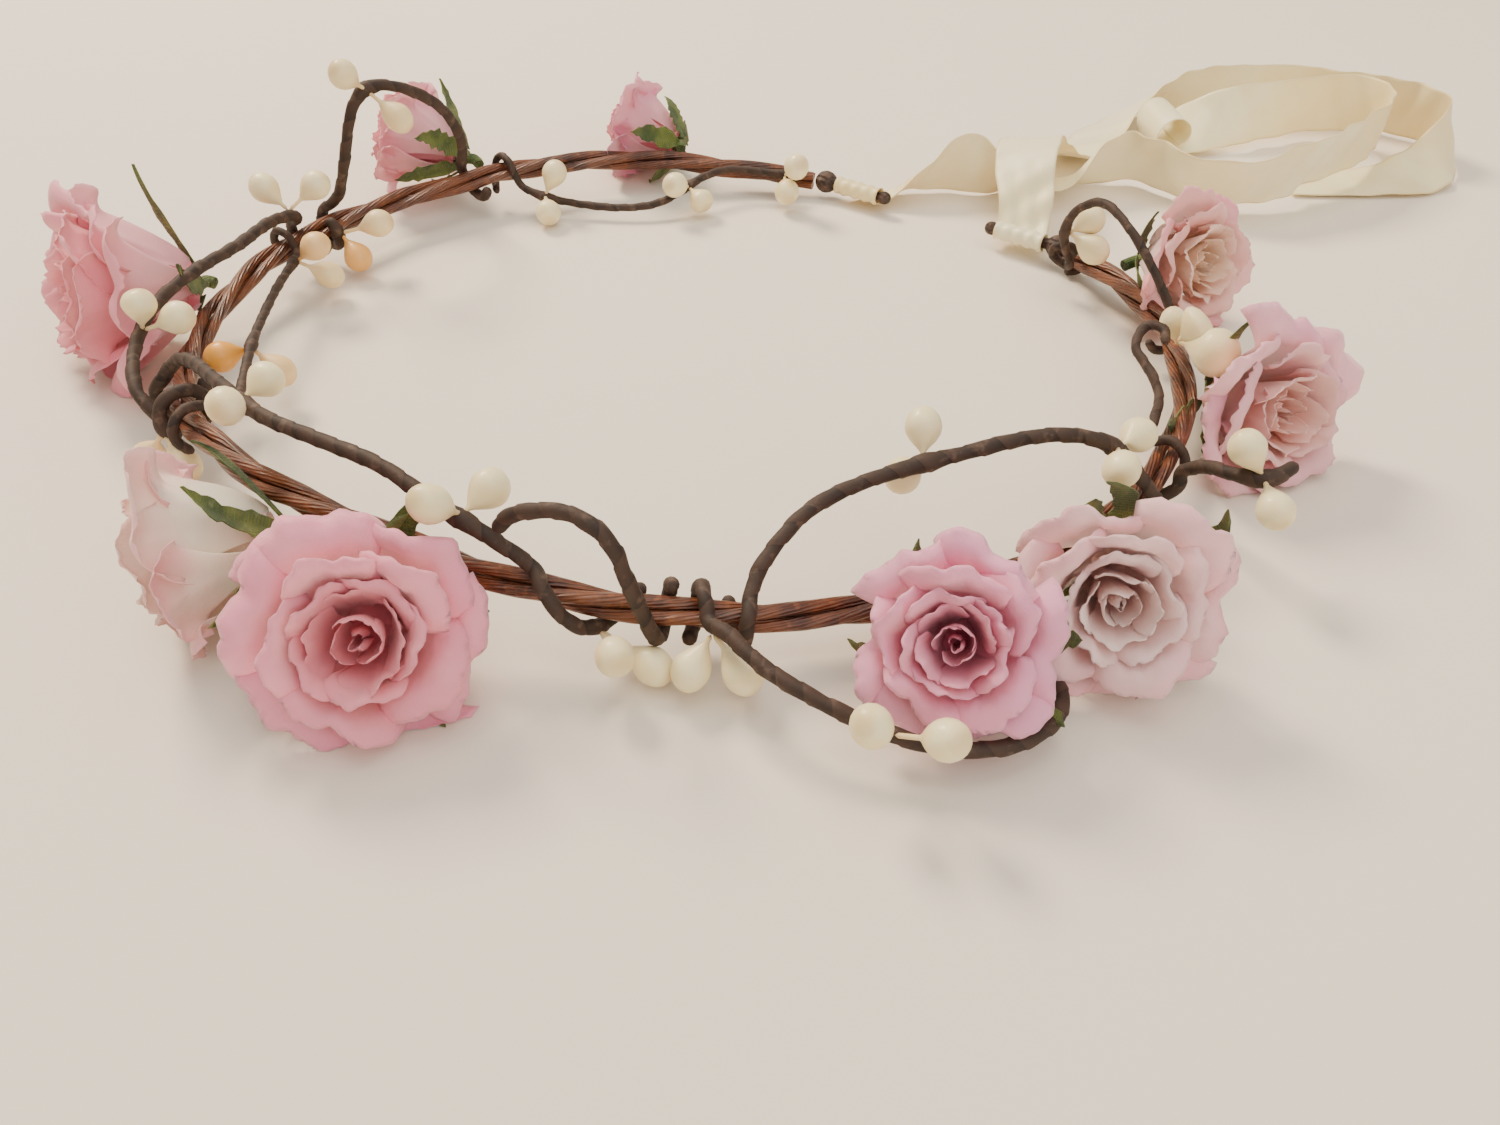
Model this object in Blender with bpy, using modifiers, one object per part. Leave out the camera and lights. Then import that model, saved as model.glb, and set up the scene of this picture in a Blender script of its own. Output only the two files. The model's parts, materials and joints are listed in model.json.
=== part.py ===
"""Flower crown: a twisted wire band with a taped berry garland, nine cloth roses and two ribbon ties.

Metres, +Z up. The crown lies on the plane z = 0 with its open side at the back, where the ribbons
are tied on. Everything on the band is placed by an angle round the band, a distance out from it and
a height above it, so it follows the band when the band's size changes.
"""

import bmesh
import bpy
import math
from mathutils import Matrix, Vector

MM = 0.001
GAP = 0.3 * MM  # clearance between pieces that touch on the real crown
SMOOTH_ANGLE = 40  # degrees between faces, above which an edge stays sharp
SIX_SIDES, EIGHT_SIDES, TEN_SIDES = 1, 2, 3  # bevel resolutions of round wires

# Band: strands of waxed paper wire twisted into one rope, laid in an open oval.
BAND_HALF_WIDTH = 100 * MM
BAND_HALF_DEPTH = 87 * MM
BAND_CENTRE = (5.2 * MM, 4.6 * MM)
BAND_START = 72.5  # degrees round the oval, at the left ribbon
BAND_FINISH = 388.0  # degrees, at the right ribbon
STRAND_COUNT = 3
STRAND_RADIUS = 1.1 * MM
STRAND_PITCH = 70 * MM
STRAND_STEP = 7.5 * MM
BAND_SAMPLES = 240  # points on the band's oval before they are spaced evenly
BAND_HEIGHTS = [  # angle in degrees, height of the band's middle in mm
    (60, 4.2), (72, 4.4), (84, 5.8), (98, 8.5), (115, 9.5), (135, 9.2), (160, 10), (178, 9),
    (192, 9.5), (205, 14), (218, 18), (242, 18), (254, 14.5), (268, 10.3), (280, 7.8), (297, 6.8),
    (322, 8), (345, 9), (358, 8.5), (372, 6.9), (388, 5.3), (400, 5.1),
]
FULLNESS = 0.035  # how much wider the oval runs at its front right
FULLNESS_AT = 316.0
FULLNESS_SPREAD = 50.0

# Ends of the band: a taped ball, a bare wire neck for the ribbon and a bead that keeps it on.
END_BALL_RADIUS = 3.0 * MM
NECK_RADIUS = 1.0 * MM
NECK_LENGTH = 14.5 * MM
BEAD_RADIUS = 1.8 * MM
END_BALL_ARC = (-90, -60, -30, 0, 30, 55)  # degrees of latitude, from the band to the neck
BEAD_ARC = (-50, -10, 30, 60, 90)

# Garland wire
VINE_RADIUS = 1.25 * MM
THIN_VINE_RADIUS = 0.95 * MM
VINE_STEP = 3.4 * MM
WRAP_STEP = 36.0  # degrees between the points of a wrap round the band
WRAP_GAP = 0.45 * MM

# Berries
BERRY_RADIUS = 3.1 * MM
BERRY_THREAD = 0.5 * MM
THREAD_SPREAD = 0.7 * MM  # from a pair's joint to where each thread starts

# Roses
STEM_RADIUS = 1.4 * MM
STEM_START = 0.8 * MM  # the straight start of a stem
STEM_SECTIONS = 3
STEM_BEND = 1.1  # how firmly a stem holds its direction at both ends
CUP_BACK = 1.7  # the stem's last radius, as a share of STEM_RADIUS
CUP_RADIUS = 5.2 * MM
GLUE_THICKNESS = 1.4 * MM
GLUE_RADIUS = 2.3 * MM
GLUE_SEGMENTS = 8
GLUE_RINGS = 5
BLOOM_SEGMENTS = 14
BLOOM_LOBES = 5
BLOOM_LOBE_DEPTH = 0.06

# Ribbons
RIBBON_WIDTH = 15.5 * MM
RIBBON_THICKNESS = 0.5 * MM
SLEEVE_WIDTH = 12.5 * MM
SLEEVE_TURN = 280.0  # degrees of ribbon round the neck
SLEEVE_STEPS = 12
RIBBON_SAMPLES = 4  # sections between two stations of a ribbon


# ---------------------------------------------------------------- scene and materials

def clear_scene():
    for old in list(bpy.data.objects):
        bpy.data.objects.remove(old, do_unlink=True)


def new_collection(name):
    collection = bpy.data.collections.new(name)
    bpy.context.scene.collection.children.link(collection)
    return collection


def new_material(name, colour, roughness, metallic=0.0):
    material = bpy.data.materials.new(name)
    material.use_nodes = True
    shader = material.node_tree.nodes["Principled BSDF"]
    shader.inputs["Base Color"].default_value = (*colour, 1.0)
    shader.inputs["Roughness"].default_value = roughness
    shader.inputs["Metallic"].default_value = metallic
    return material


clear_scene()
crown = new_collection("flower_crown")
BAND_WIRE = new_material("band_wire", (0.16, 0.045, 0.02), 0.35)
END_TAPE = new_material("end_tape", (0.05, 0.025, 0.018), 0.7)
GARLAND_TAPE = new_material("garland_tape", (0.07, 0.045, 0.035), 0.75)
BERRY_CREAM = new_material("berry_cream", (0.85, 0.74, 0.5), 0.35)
LEAF_GREEN = new_material("leaf_green", (0.08, 0.16, 0.04), 0.8)
GLUE_CLEAR = new_material("glue_clear", (0.8, 0.78, 0.72), 0.15)
RIBBON_IVORY = new_material("ribbon_ivory", (0.9, 0.84, 0.6), 0.4)
PETALS = {
    "pink": new_material("petal_pink", (0.85, 0.36, 0.45), 0.75),
    "blush": new_material("petal_blush", (0.92, 0.66, 0.62), 0.75),
    "mauve": new_material("petal_mauve", (0.8, 0.33, 0.46), 0.75),
    "pale": new_material("petal_pale", (0.9, 0.7, 0.7), 0.75),
}


# ---------------------------------------------------------------- curves through points

def hermite(a, b, slope_a, slope_b, t):
    return (
        a * (2 * t**3 - 3 * t**2 + 1) + slope_a * (t**3 - 2 * t**2 + t)
        + b * (3 * t**2 - 2 * t**3) + slope_b * (t**3 - t**2)
    )


def value_at(table, x):
    """A smooth curve through (x, value) pairs, with flat slopes past its ends."""
    last = len(table) - 2
    i = 0
    while i < last and x > table[i + 1][0]:
        i += 1
    slopes = []
    for k in (i, i + 1):
        before = table[max(k - 1, 0)]
        after = table[min(k + 1, last + 1)]
        slopes.append((after[1] - before[1]) / (after[0] - before[0]))
    span = table[i + 1][0] - table[i][0]
    t = (x - table[i][0]) / span
    return hermite(table[i][1], table[i + 1][1], slopes[0] * span, slopes[1] * span, t)


def through(points, samples):
    """A Catmull-Rom curve through vectors of any length, with this many steps a stretch."""
    curve = []
    for i in range(len(points) - 1):
        before = points[max(i - 1, 0)]
        after = points[min(i + 2, len(points) - 1)]
        slope_a = (points[i + 1] - before) * 0.5
        slope_b = (after - points[i]) * 0.5
        for k in range(samples):
            curve.append(hermite(points[i], points[i + 1], slope_a, slope_b, k / samples))
    curve.append(points[-1].copy())
    return curve


def spaced(line, step):
    """The same line with evenly spaced points, about step apart."""
    lengths = [0.0]
    for a, b in zip(line, line[1:]):
        lengths.append(lengths[-1] + (b - a).length)
    count = max(2, round(lengths[-1] / step))
    result = []
    k = 0
    for i in range(count + 1):
        goal = lengths[-1] * i / count
        while k < len(line) - 2 and lengths[k + 1] < goal:
            k += 1
        share = (goal - lengths[k]) / (lengths[k + 1] - lengths[k])
        result.append(line[k].lerp(line[k + 1], share))
    return result


# ---------------------------------------------------------------- the band's own coordinates

UP = Vector((0, 0, 1))
BAND_RADIUS_AT_STRANDS = (2 * STRAND_RADIUS + GAP) / math.sqrt(3)
BAND_RADIUS = BAND_RADIUS_AT_STRANDS + STRAND_RADIUS


def band_point(angle):
    """The middle of the band at an angle, in degrees, round its oval."""
    away = abs((angle - FULLNESS_AT + 180) % 360 - 180)
    full = 1.0
    if away < FULLNESS_SPREAD:
        full += FULLNESS * (0.5 + 0.5 * math.cos(math.pi * away / FULLNESS_SPREAD))
    turn = math.radians(angle)
    return Vector((
        BAND_CENTRE[0] + BAND_HALF_WIDTH * full * math.cos(turn),
        BAND_CENTRE[1] + BAND_HALF_DEPTH * full * math.sin(turn),
        value_at(BAND_HEIGHTS, angle) * MM,
    ))


def band_along(angle):
    """The level direction of the band at an angle, towards larger angles."""
    along = band_point(angle + 0.2) - band_point(angle - 0.2)
    along.z = 0
    return along.normalized()


def band_outward(angle):
    along = band_along(angle)
    return Vector((along.y, -along.x, 0))


def place(angle, out, rise):
    """A point by the band: out from its middle and above its middle, both in millimetres."""
    return band_point(angle) + band_outward(angle) * (out * MM) + UP * (rise * MM)


def around_band(angle, phi, radius):
    """A point on a tube round the band: phi 0 is outward, 90 is up, 180 is inward."""
    turn = math.radians(phi)
    return band_point(angle) + (band_outward(angle) * math.cos(turn) + UP * math.sin(turn)) * radius


def wrap(start, finish, phi_start, phi_finish, wire_radius=VINE_RADIUS):
    """Points of a wire wound round the band from one angle to another."""
    steps = max(2, math.ceil(abs(phi_finish - phi_start) / WRAP_STEP))
    half_step = math.radians(abs(phi_finish - phi_start) / steps / 2)
    radius = (BAND_RADIUS + wire_radius + WRAP_GAP) / math.cos(half_step)
    return [
        around_band(
            start + (finish - start) * i / steps,
            phi_start + (phi_finish - phi_start) * i / steps,
            radius,
        )
        for i in range(steps + 1)
    ]


# ---------------------------------------------------------------- makers

def add_object(name, data, material, matrix=None):
    made = bpy.data.objects.new(name, data)
    crown.objects.link(made)
    data.materials.append(material)
    if matrix is not None:
        made.matrix_world = matrix
    return made


def add_tube(name, points, radius, material, resolution=SIX_SIDES, swell=None):
    """A round wire through the points. swell gives a radius factor for each point."""
    curve = bpy.data.curves.new(name, "CURVE")
    curve.dimensions = "3D"
    curve.bevel_depth = radius
    curve.bevel_resolution = resolution
    curve.use_fill_caps = True
    spline = curve.splines.new("POLY")
    spline.points.add(len(points) - 1)
    for i, point in enumerate(points):
        spline.points[i].co = (*point, 1)
        spline.points[i].radius = swell[i] if swell else 1.0
    spline.use_smooth = True
    return add_object(name, curve, material)


def axis_matrix(origin, axis):
    """A frame at origin whose +Z is along axis."""
    return Matrix.Translation(origin) @ UP.rotation_difference(axis).to_matrix().to_4x4()


def add_turned(name, profile, origin, axis, material, steps=12):
    """A turned solid. profile is (radius, height) from its top down, from axis to axis."""
    mesh = bpy.data.meshes.new(name)
    points = [(radius, 0, height) for radius, height in profile]
    edges = [(i, i + 1) for i in range(len(points) - 1)]
    mesh.from_pydata(points, edges, [])
    made = add_object(name, mesh, material, axis_matrix(origin, axis))
    screw = made.modifiers.new("turn", "SCREW")
    screw.steps = steps
    screw.render_steps = steps
    screw.use_merge_vertices = True
    screw.merge_threshold = 0.00001
    return made


def smooth_mesh(mesh):
    mesh.shade_smooth()
    mesh.set_sharp_from_angle(angle=math.radians(SMOOTH_ANGLE))


# ---------------------------------------------------------------- band strands

def band_line():
    line = [
        band_point(BAND_START + (BAND_FINISH - BAND_START) * i / BAND_SAMPLES)
        for i in range(BAND_SAMPLES + 1)
    ]
    return spaced(line, STRAND_STEP)


def make_strands():
    line = band_line()
    for strand in range(STRAND_COUNT):
        points = []
        for i, middle in enumerate(line):
            ahead = line[min(i + 1, len(line) - 1)] - line[max(i - 1, 0)]
            across = ahead.cross(UP).normalized()
            over = across.cross(ahead).normalized()
            turn = math.tau * (i * STRAND_STEP / STRAND_PITCH + strand / STRAND_COUNT)
            points.append(
                middle + (across * math.cos(turn) + over * math.sin(turn)) * BAND_RADIUS_AT_STRANDS
            )
        add_tube(f"band_strand_{strand + 1}", points, STRAND_RADIUS, BAND_WIRE)


# ---------------------------------------------------------------- ends of the band

def end_ball(angle, sign):
    """The middle of the taped ball just past an end of the band."""
    along = (band_point(angle + 0.5) - band_point(angle - 0.5)).normalized()
    return band_point(angle) + along * sign * (END_BALL_RADIUS + 1.5 * GAP)


LEFT_END = end_ball(BAND_START, -1)
RIGHT_END = end_ball(BAND_FINISH, 1)
TIE_AXIS = (RIGHT_END - LEFT_END).normalized()  # the line that both ribbons swing about
TIE_OUT = UP.cross(TIE_AXIS).normalized()
TIE_MIDDLE = (LEFT_END + RIGHT_END) / 2


def make_ends():
    neck_top = END_BALL_RADIUS + NECK_LENGTH
    ball = [
        (END_BALL_RADIUS * math.cos(turn), END_BALL_RADIUS * math.sin(turn))
        for turn in map(math.radians, END_BALL_ARC)
    ]
    bead = [
        (BEAD_RADIUS * math.cos(turn), neck_top + BEAD_RADIUS * math.sin(turn))
        for turn in map(math.radians, BEAD_ARC)
    ]
    neck = [(NECK_RADIUS, END_BALL_RADIUS * 0.95), (NECK_RADIUS, neck_top - BEAD_RADIUS)]
    rising = ball + neck + bead
    rising[0] = (0, -END_BALL_RADIUS)
    rising[-1] = (0, neck_top + BEAD_RADIUS)
    profile = rising[::-1]
    for name, origin, axis in (
        ("band_end_left", LEFT_END, TIE_AXIS),
        ("band_end_right", RIGHT_END, -TIE_AXIS),
    ):
        add_turned(name, profile, origin, axis, END_TAPE)


# ---------------------------------------------------------------- garland wires

def route(*parts):
    """Joins wraps and (angle, out, rise) points into one list of places."""
    places = []
    for part in parts:
        if isinstance(part, tuple):
            places.append(place(*part))
        else:
            places.extend(part)
    return places


VINES = {
    # runs inside the band from the left end, dips in a low loop and climbs back to wrap the band
    "vine_left_end": (THIN_VINE_RADIUS, route(
        (74.5, -3.9, 2.2), (79, -4.2, 2.0), (85, -4.8, 1.8), (89.5, -10, 0.5), (96, -16, -4.2),
        (103, -16, -5.8), (111, -11, -5.6), (116, -7.2, -3.6),
        wrap(118, 121, 200, -110, THIN_VINE_RADIUS))),
    # stands up in a tall arch at the back left
    "vine_back_arch": (VINE_RADIUS, route(
        wrap(122.8, 125.6, -160, 90), (126.2, -5, 13.5), (130, -9.4, 23.8), (136, -9.8, 30.2),
        (140.7, -8.2, 31.2), (143.9, -7.4, 26.8), (146, -5.2, 15.5), (146.6, -1.6, 7.2),
        wrap(147.2, 150, 70, -230))),
    # swings out over the left side and down to the dark knot
    "vine_left_loop": (VINE_RADIUS, route(
        wrap(151.6, 153.8, -170, 80), (156.5, -3.2, 8.2), (163, -5.2, 11), (172, -6, 12.8),
        (181, -1.2, 13.2), (187.6, 4, 11.4), (195, 6.4, 8), (201.5, 6.8, 3.4),
        wrap(204.5, 208.6, -20, -420))),
    # a thin wire inside the left side
    "vine_left_inner": (THIN_VINE_RADIUS, route(
        wrap(156.2, 158.2, -60, 190, THIN_VINE_RADIUS), (162, -7.5, 1), (172, -11.5, 2.6),
        (190, -13.6, 4.4), (203, -11.5, 1.5), (209.5, -8, -0.5),
        wrap(212.2, 214.4, 180, -60, THIN_VINE_RADIUS))),
    # the long sweep over the front left, ending in slow turns round the band
    "vine_front_left": (VINE_RADIUS, route(
        wrap(198.2, 200.2, -200, 60), (202.5, -1.6, 8.2), (207.3, -4.1, 9.2), (217, -4.6, 9.4),
        (227.3, -4, 9.8), (236, -4.2, 10.6), (243.7, -3.3, 11.2), (249.7, -1.2, 10.2),
        (254.5, -0.6, 7.8), wrap(258.5, 268, 90, -190))),
    # a small arch over the front
    "vine_front_arch": (VINE_RADIUS, route(
        (256, 0.6, 10.6), (257.4, 0.8, 14), (259.7, 2.4, 17.6), (263.3, 4, 20.2), (266.4, 6.4, 18.6),
        (267.8, 6.8, 11), (268.6, 5.6, 4.4), wrap(269.3, 270.9, -20, -250))),
    # wraps at the front and swings low in front of the roses
    "vine_front_low_loop": (VINE_RADIUS, route(
        wrap(272.2, 274.2, -60, -340), (275.2, 7.5, 4.2), (278.8, 16, 3.6), (284.5, 24, 1.2),
        (288.9, 29.2, -0.2), (293.2, 31.4, -0.8), (297, 29.8, -1), (299.4, 24.5, -1.4),
        (299.6, 17, -1.6), (299, 10, -1.2), wrap(298.6, 300.2, 0, 200))),
    # the wide arch inside the front right
    "vine_front_right_arch": (VINE_RADIUS, route(
        wrap(275.8, 277.8, -180, 90), (278.6, -3, 6.6), (280.8, -6.6, 10), (284.6, -11, 13),
        (290.8, -13.3, 15.4), (300, -13.1, 16.8), (310, -8.8, 17.8), (315.5, -3.6, 15.4),
        (319, -0.4, 9.4), wrap(320.8, 323.2, 70, -210))),
    # a short branch out at the right
    "vine_right_branch": (VINE_RADIUS, route(
        wrap(325.2, 327, -190, 20), (326.2, 8.2, 5.4), (324.6, 13.4, 8), (325, 19, 9),
        (327.4, 21.6, 9.8))),
    # runs up inside the right side and ends in a curl
    "vine_right_curl": (THIN_VINE_RADIUS, route(
        wrap(328.8, 330.2, 0, 150, THIN_VINE_RADIUS), (334, -4.4, 2.8), (339.6, -4.8, 2.6),
        (343, -7.2, 4.6), (346, -10.2, 6.4), (349.2, -9.2, 8.8), (349, -5.8, 9.6),
        (346.2, -5, 8.2))),
    # the back right loop, ending in tight curls at the right end
    "vine_right_end": (THIN_VINE_RADIUS, route(
        wrap(358.6, 360.4, -160, 80, THIN_VINE_RADIUS), (362.6, -3, 11), (367.3, -7.6, 18.6),
        (374, -10, 21.4), (378.3, -12.6, 17.6), (380.6, -12, 10.5), (380.4, -9.4, 4.2),
        (382.6, -7.4, 1.6), (384.8, -9.2, 3.2), (384.2, -10, 6),
        (382.6, -6.6, 6.2), wrap(384.8, 386.6, 150, -120, THIN_VINE_RADIUS))),
}


def make_vines():
    lines = {}
    for name, (radius, places) in VINES.items():
        line = spaced(through(places, 6), VINE_STEP)
        lines[name] = (line, radius)
        add_tube(name, line, radius, GARLAND_TAPE)
    return lines


# ---------------------------------------------------------------- berries

BERRIES = [
    # the wire each pair is bound to, then its two heads as (angle, out, rise)
    ("vine_left_end", (73.2, -9.8, 6.6), (75.4, -10.2, 0.6)),
    ("vine_left_end", (89.5, -15.8, -2.4), (92.8, -16.4, 2.2)),
    ("vine_left_end", (112.6, -8, 1.2), (115.2, -14.2, -6)),
    ("vine_back_arch", (144.6, -9.2, 36), (138.6, -14, 25)),
    ("vine_left_loop", (157.2, 2.4, 14), (153.6, -6.8, 14.6)),
    ("vine_left_inner", (159.8, -12.8, 4.8), (158.2, -12.4, -4.2)),
    ("vine_back_arch", (144.6, -10.4, 0.8), (149.4, -9.8, -4.6)),
    ("vine_left_loop", (193.4, -1.6, 12.2), (191.7, 3.8, 15)),
    ("vine_left_inner", (193.4, -7.8, 3.4), (193, -17.6, -1.8)),
    ("vine_front_left", (226, 0.2, 13), (223, -9, 11.4)),
    ("vine_left_loop", (211.4, 3.6, -7.8), (207.4, 8.8, -8.6)),
    ("vine_front_left", (253.6, -6.8, 11.6), (250.9, 3, 14.4)),
    ("vine_front_left", (266.4, 9.2, -1.6), (268.6, 7.6, -6.6)),
    ("vine_front_low_loop", (272.6, 8.8, -4), (276.6, 8.8, -3.8)),
    ("vine_front_right_arch", (298.6, -19.4, 19.4), (296.3, -16.2, 11.6)),
    ("vine_front_low_loop", (284.4, 30, 7.2), (288.2, 35.4, 6.4)),
    ("vine_front_right_arch", (313.4, 3, 15.4), (321.4, -1.8, 12.4)),
    ("vine_right_branch", (324.8, 14.4, 13.6), (322.6, 22.6, 7.4)),
    ("vine_right_curl", (344, -1.6, 9.4), (346, 4.6, 10.6)),
    ("vine_right_end", (379.4, -7.2, 14.4), (376, -8.2, 10)),
]
# Along a head, from its tip to its thread: distance from the head's middle in berry radii, and
# radius in berry radii.
BERRY_PROFILE = [(1.0, 0.16), (0.82, 0.6), (0.35, 0.95), (-0.2, 0.98), (-0.75, 0.7), (-1.25, 0.36)]


def nearest_on(line, point):
    best = min(range(1, len(line) - 1), key=lambda i: (line[i] - point).length)
    return line[best], (line[best + 1] - line[best - 1]).normalized()


def make_berries(lines):
    for number, (vine, head_a, head_b) in enumerate(BERRIES, 1):
        line, vine_radius = lines[vine]
        heads = [place(*head_a), place(*head_b)]
        middle = (heads[0] + heads[1]) / 2
        wire, tangent = nearest_on(line, middle)
        away = middle - wire
        away -= tangent * away.dot(tangent)
        joint = wire + away.normalized() * (vine_radius + BERRY_THREAD + 1.5 * GAP)
        apart = (heads[0] - heads[1]).normalized() * THREAD_SPREAD
        points = []
        swell = []
        for head, root in ((heads[0], joint + apart), (heads[1], joint - apart)):
            stem = (head - root).normalized()
            side = [(root, BERRY_THREAD / BERRY_RADIUS)]
            for distance, share in reversed(BERRY_PROFILE):
                if -distance * BERRY_RADIUS < (head - root).length - BERRY_THREAD:
                    side.append((head + stem * distance * BERRY_RADIUS, share))
            if not points:
                side.reverse()
            points += [point for point, share in side]
            swell += [share for point, share in side]
        add_tube(f"berry_pair_{number:02d}", points, BERRY_RADIUS, BERRY_CREAM, EIGHT_SIDES, swell)


# ---------------------------------------------------------------- roses

ROSES = [
    # foot angle, foot lean, then the bloom: angle, out, height; its turn from outward, its tilt up,
    # its radius, its depth, its petals, and whether a dab of glue shows
    ("rose_1", 122.2, 20, (128.3, 18.6, 15), 40, 15, 12.5, 20, "pink", False),
    ("rose_2", 92.6, 25, (98, 13.2, 10.6), 58, 8, 11.6, 17, "pink", False),
    ("rose_3", 170, 15, (179, 17.8, 16.1), 38, 12, 18.2, 26, "pink", False),
    ("rose_4", 236.5, -25, (229.2, 15.4, 14), -38, -4, 14.4, 20, "blush", False),
    ("rose_5", 245.6, -75, (247.8, 17.4, 13.9), 30, 34, 18, 20, "pink", True),
    ("rose_6", 294.4, -10, (292, 18.6, 15.8), -30, 38, 13.6, 18, "mauve", True),
    ("rose_7", 304.4, 0, (305.2, 19, 15), -36, 24, 13.6, 18, "pale", True),
    ("rose_8", 349, 42, (339.3, 14.8, 12.5), -42, 18, 15.2, 19, "blush", True),
    ("rose_9", 379.2, 15, (371, 11.6, 13.9), -70, 20, 12, 17, "blush", False),
]
# From the bloom's heart, round its rim and back to the calyx: depth share and radius share.
BLOOM_PROFILE = [
    (0.66, 0.0), (0.82, 0.32), (0.98, 0.62), (0.92, 0.94), (0.68, 1.0), (0.44, 0.88),
    (0.23, 0.66), (0.07, 0.38), (0.0, 0.0),
]
CALYX_GAP = 2.0 * MM  # from the calyx's reference point to the back of the bloom
BLOOM_MIDDLE = 0.55  # the bloom's middle, as a share of its depth from its back
PHASE_STEP = 1.3  # radians that the lobes of one bloom turn from those of the last


def petal_shape(direction, radius, depth, phase):
    """Moves a point of a unit ball, seen from its middle, onto a lobed bloom along +Z."""
    latitude = math.acos(max(-1, min(1, direction.z))) / math.pi * (len(BLOOM_PROFILE) - 1)
    low = min(int(latitude + 0.001), len(BLOOM_PROFILE) - 2)
    share = latitude - low
    along = BLOOM_PROFILE[low][0] * (1 - share) + BLOOM_PROFILE[low + 1][0] * share
    out = BLOOM_PROFILE[low][1] * (1 - share) + BLOOM_PROFILE[low + 1][1] * share
    around = math.atan2(direction.y, direction.x)
    out *= 1 + BLOOM_LOBE_DEPTH * math.cos(BLOOM_LOBES * around + phase) * out
    return Vector((
        radius * out * math.cos(around),
        radius * out * math.sin(around),
        CALYX_GAP + depth * along,
    ))


def make_bloom(name, calyx, axis, radius, depth, material, phase):
    """A cupped, lobed bloom, trimmed flat where it rests on the plane z = 0."""
    mesh = bpy.data.meshes.new(name)
    shape = bmesh.new()
    bmesh.ops.create_uvsphere(
        shape, u_segments=BLOOM_SEGMENTS, v_segments=len(BLOOM_PROFILE) - 1, radius=1
    )
    for vert in shape.verts:
        vert.co = petal_shape(vert.co.normalized(), radius, depth, phase)
    matrix = axis_matrix(calyx, axis)
    inverse = matrix.inverted()
    floor_normal = (inverse.to_3x3() @ UP).normalized()
    cut = bmesh.ops.bisect_plane(
        shape, geom=shape.verts[:] + shape.edges[:] + shape.faces[:], dist=1e-7,
        plane_co=inverse @ Vector((0, 0, 0)), plane_no=floor_normal, clear_inner=True,
    )
    rim = [item for item in cut["geom_cut"] if isinstance(item, bmesh.types.BMEdge)]
    if rim:
        bmesh.ops.contextual_create(shape, geom=rim)
    bmesh.ops.recalc_face_normals(shape, faces=shape.faces)
    shape.to_mesh(mesh)
    shape.free()
    smooth_mesh(mesh)
    add_object(name, mesh, material, matrix)


def make_calyx(name, foot, lean, calyx, axis):
    """A stem that leaves the band along lean and flares into the cup behind the bloom."""
    start = foot + lean * STEM_START
    reach = (calyx - start).length * STEM_BEND
    points = [foot]
    for i in range(STEM_SECTIONS + 1):
        points.append(hermite(start, calyx, lean * reach, axis * reach, i / STEM_SECTIONS))
    swell = [1.0] * (STEM_SECTIONS + 1) + [CUP_BACK]
    points.append(calyx + axis * (CALYX_GAP - GAP))
    swell.append(CUP_RADIUS / STEM_RADIUS)
    add_tube(name, points, STEM_RADIUS, LEAF_GREEN, TEN_SIDES, swell)


def make_glue(name, centre, lean):
    mesh = bpy.data.meshes.new(name)
    shape = bmesh.new()
    bmesh.ops.create_uvsphere(shape, u_segments=GLUE_SEGMENTS, v_segments=GLUE_RINGS, radius=1)
    bmesh.ops.scale(
        shape, vec=(GLUE_RADIUS, GLUE_RADIUS, GLUE_THICKNESS / 2), verts=shape.verts
    )
    shape.to_mesh(mesh)
    shape.free()
    smooth_mesh(mesh)
    add_object(name, mesh, GLUE_CLEAR, axis_matrix(centre, lean))


def make_roses():
    for i, rose in enumerate(ROSES):
        name, foot_angle, lean, bloom, turn, tilt, radius, depth, petals, glued = rose
        lean_dir = (around_band(foot_angle, lean, 1.0) - band_point(foot_angle)).normalized()
        glue_middle = band_point(foot_angle) + lean_dir * (BAND_RADIUS + GAP + GLUE_THICKNESS / 2)
        foot = glue_middle + lean_dir * (GLUE_THICKNESS / 2 + GAP)
        angle, out, height = bloom
        middle = place(angle, out, 0)
        middle.z = height * MM
        heading = Matrix.Rotation(math.radians(turn), 3, "Z") @ band_outward(angle)
        climb = math.radians(tilt)
        axis = (heading * math.cos(climb) + UP * math.sin(climb)).normalized()
        depth *= MM
        calyx = middle - axis * (depth * BLOOM_MIDDLE + CALYX_GAP)
        make_calyx(name + "_calyx", foot, lean_dir, calyx, axis)
        make_bloom(name + "_bloom", calyx, axis, radius * MM, depth, PETALS[petals], PHASE_STEP * i)
        if glued:
            make_glue(name + "_glue", glue_middle, lean_dir)


# ---------------------------------------------------------------- ribbons

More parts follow.
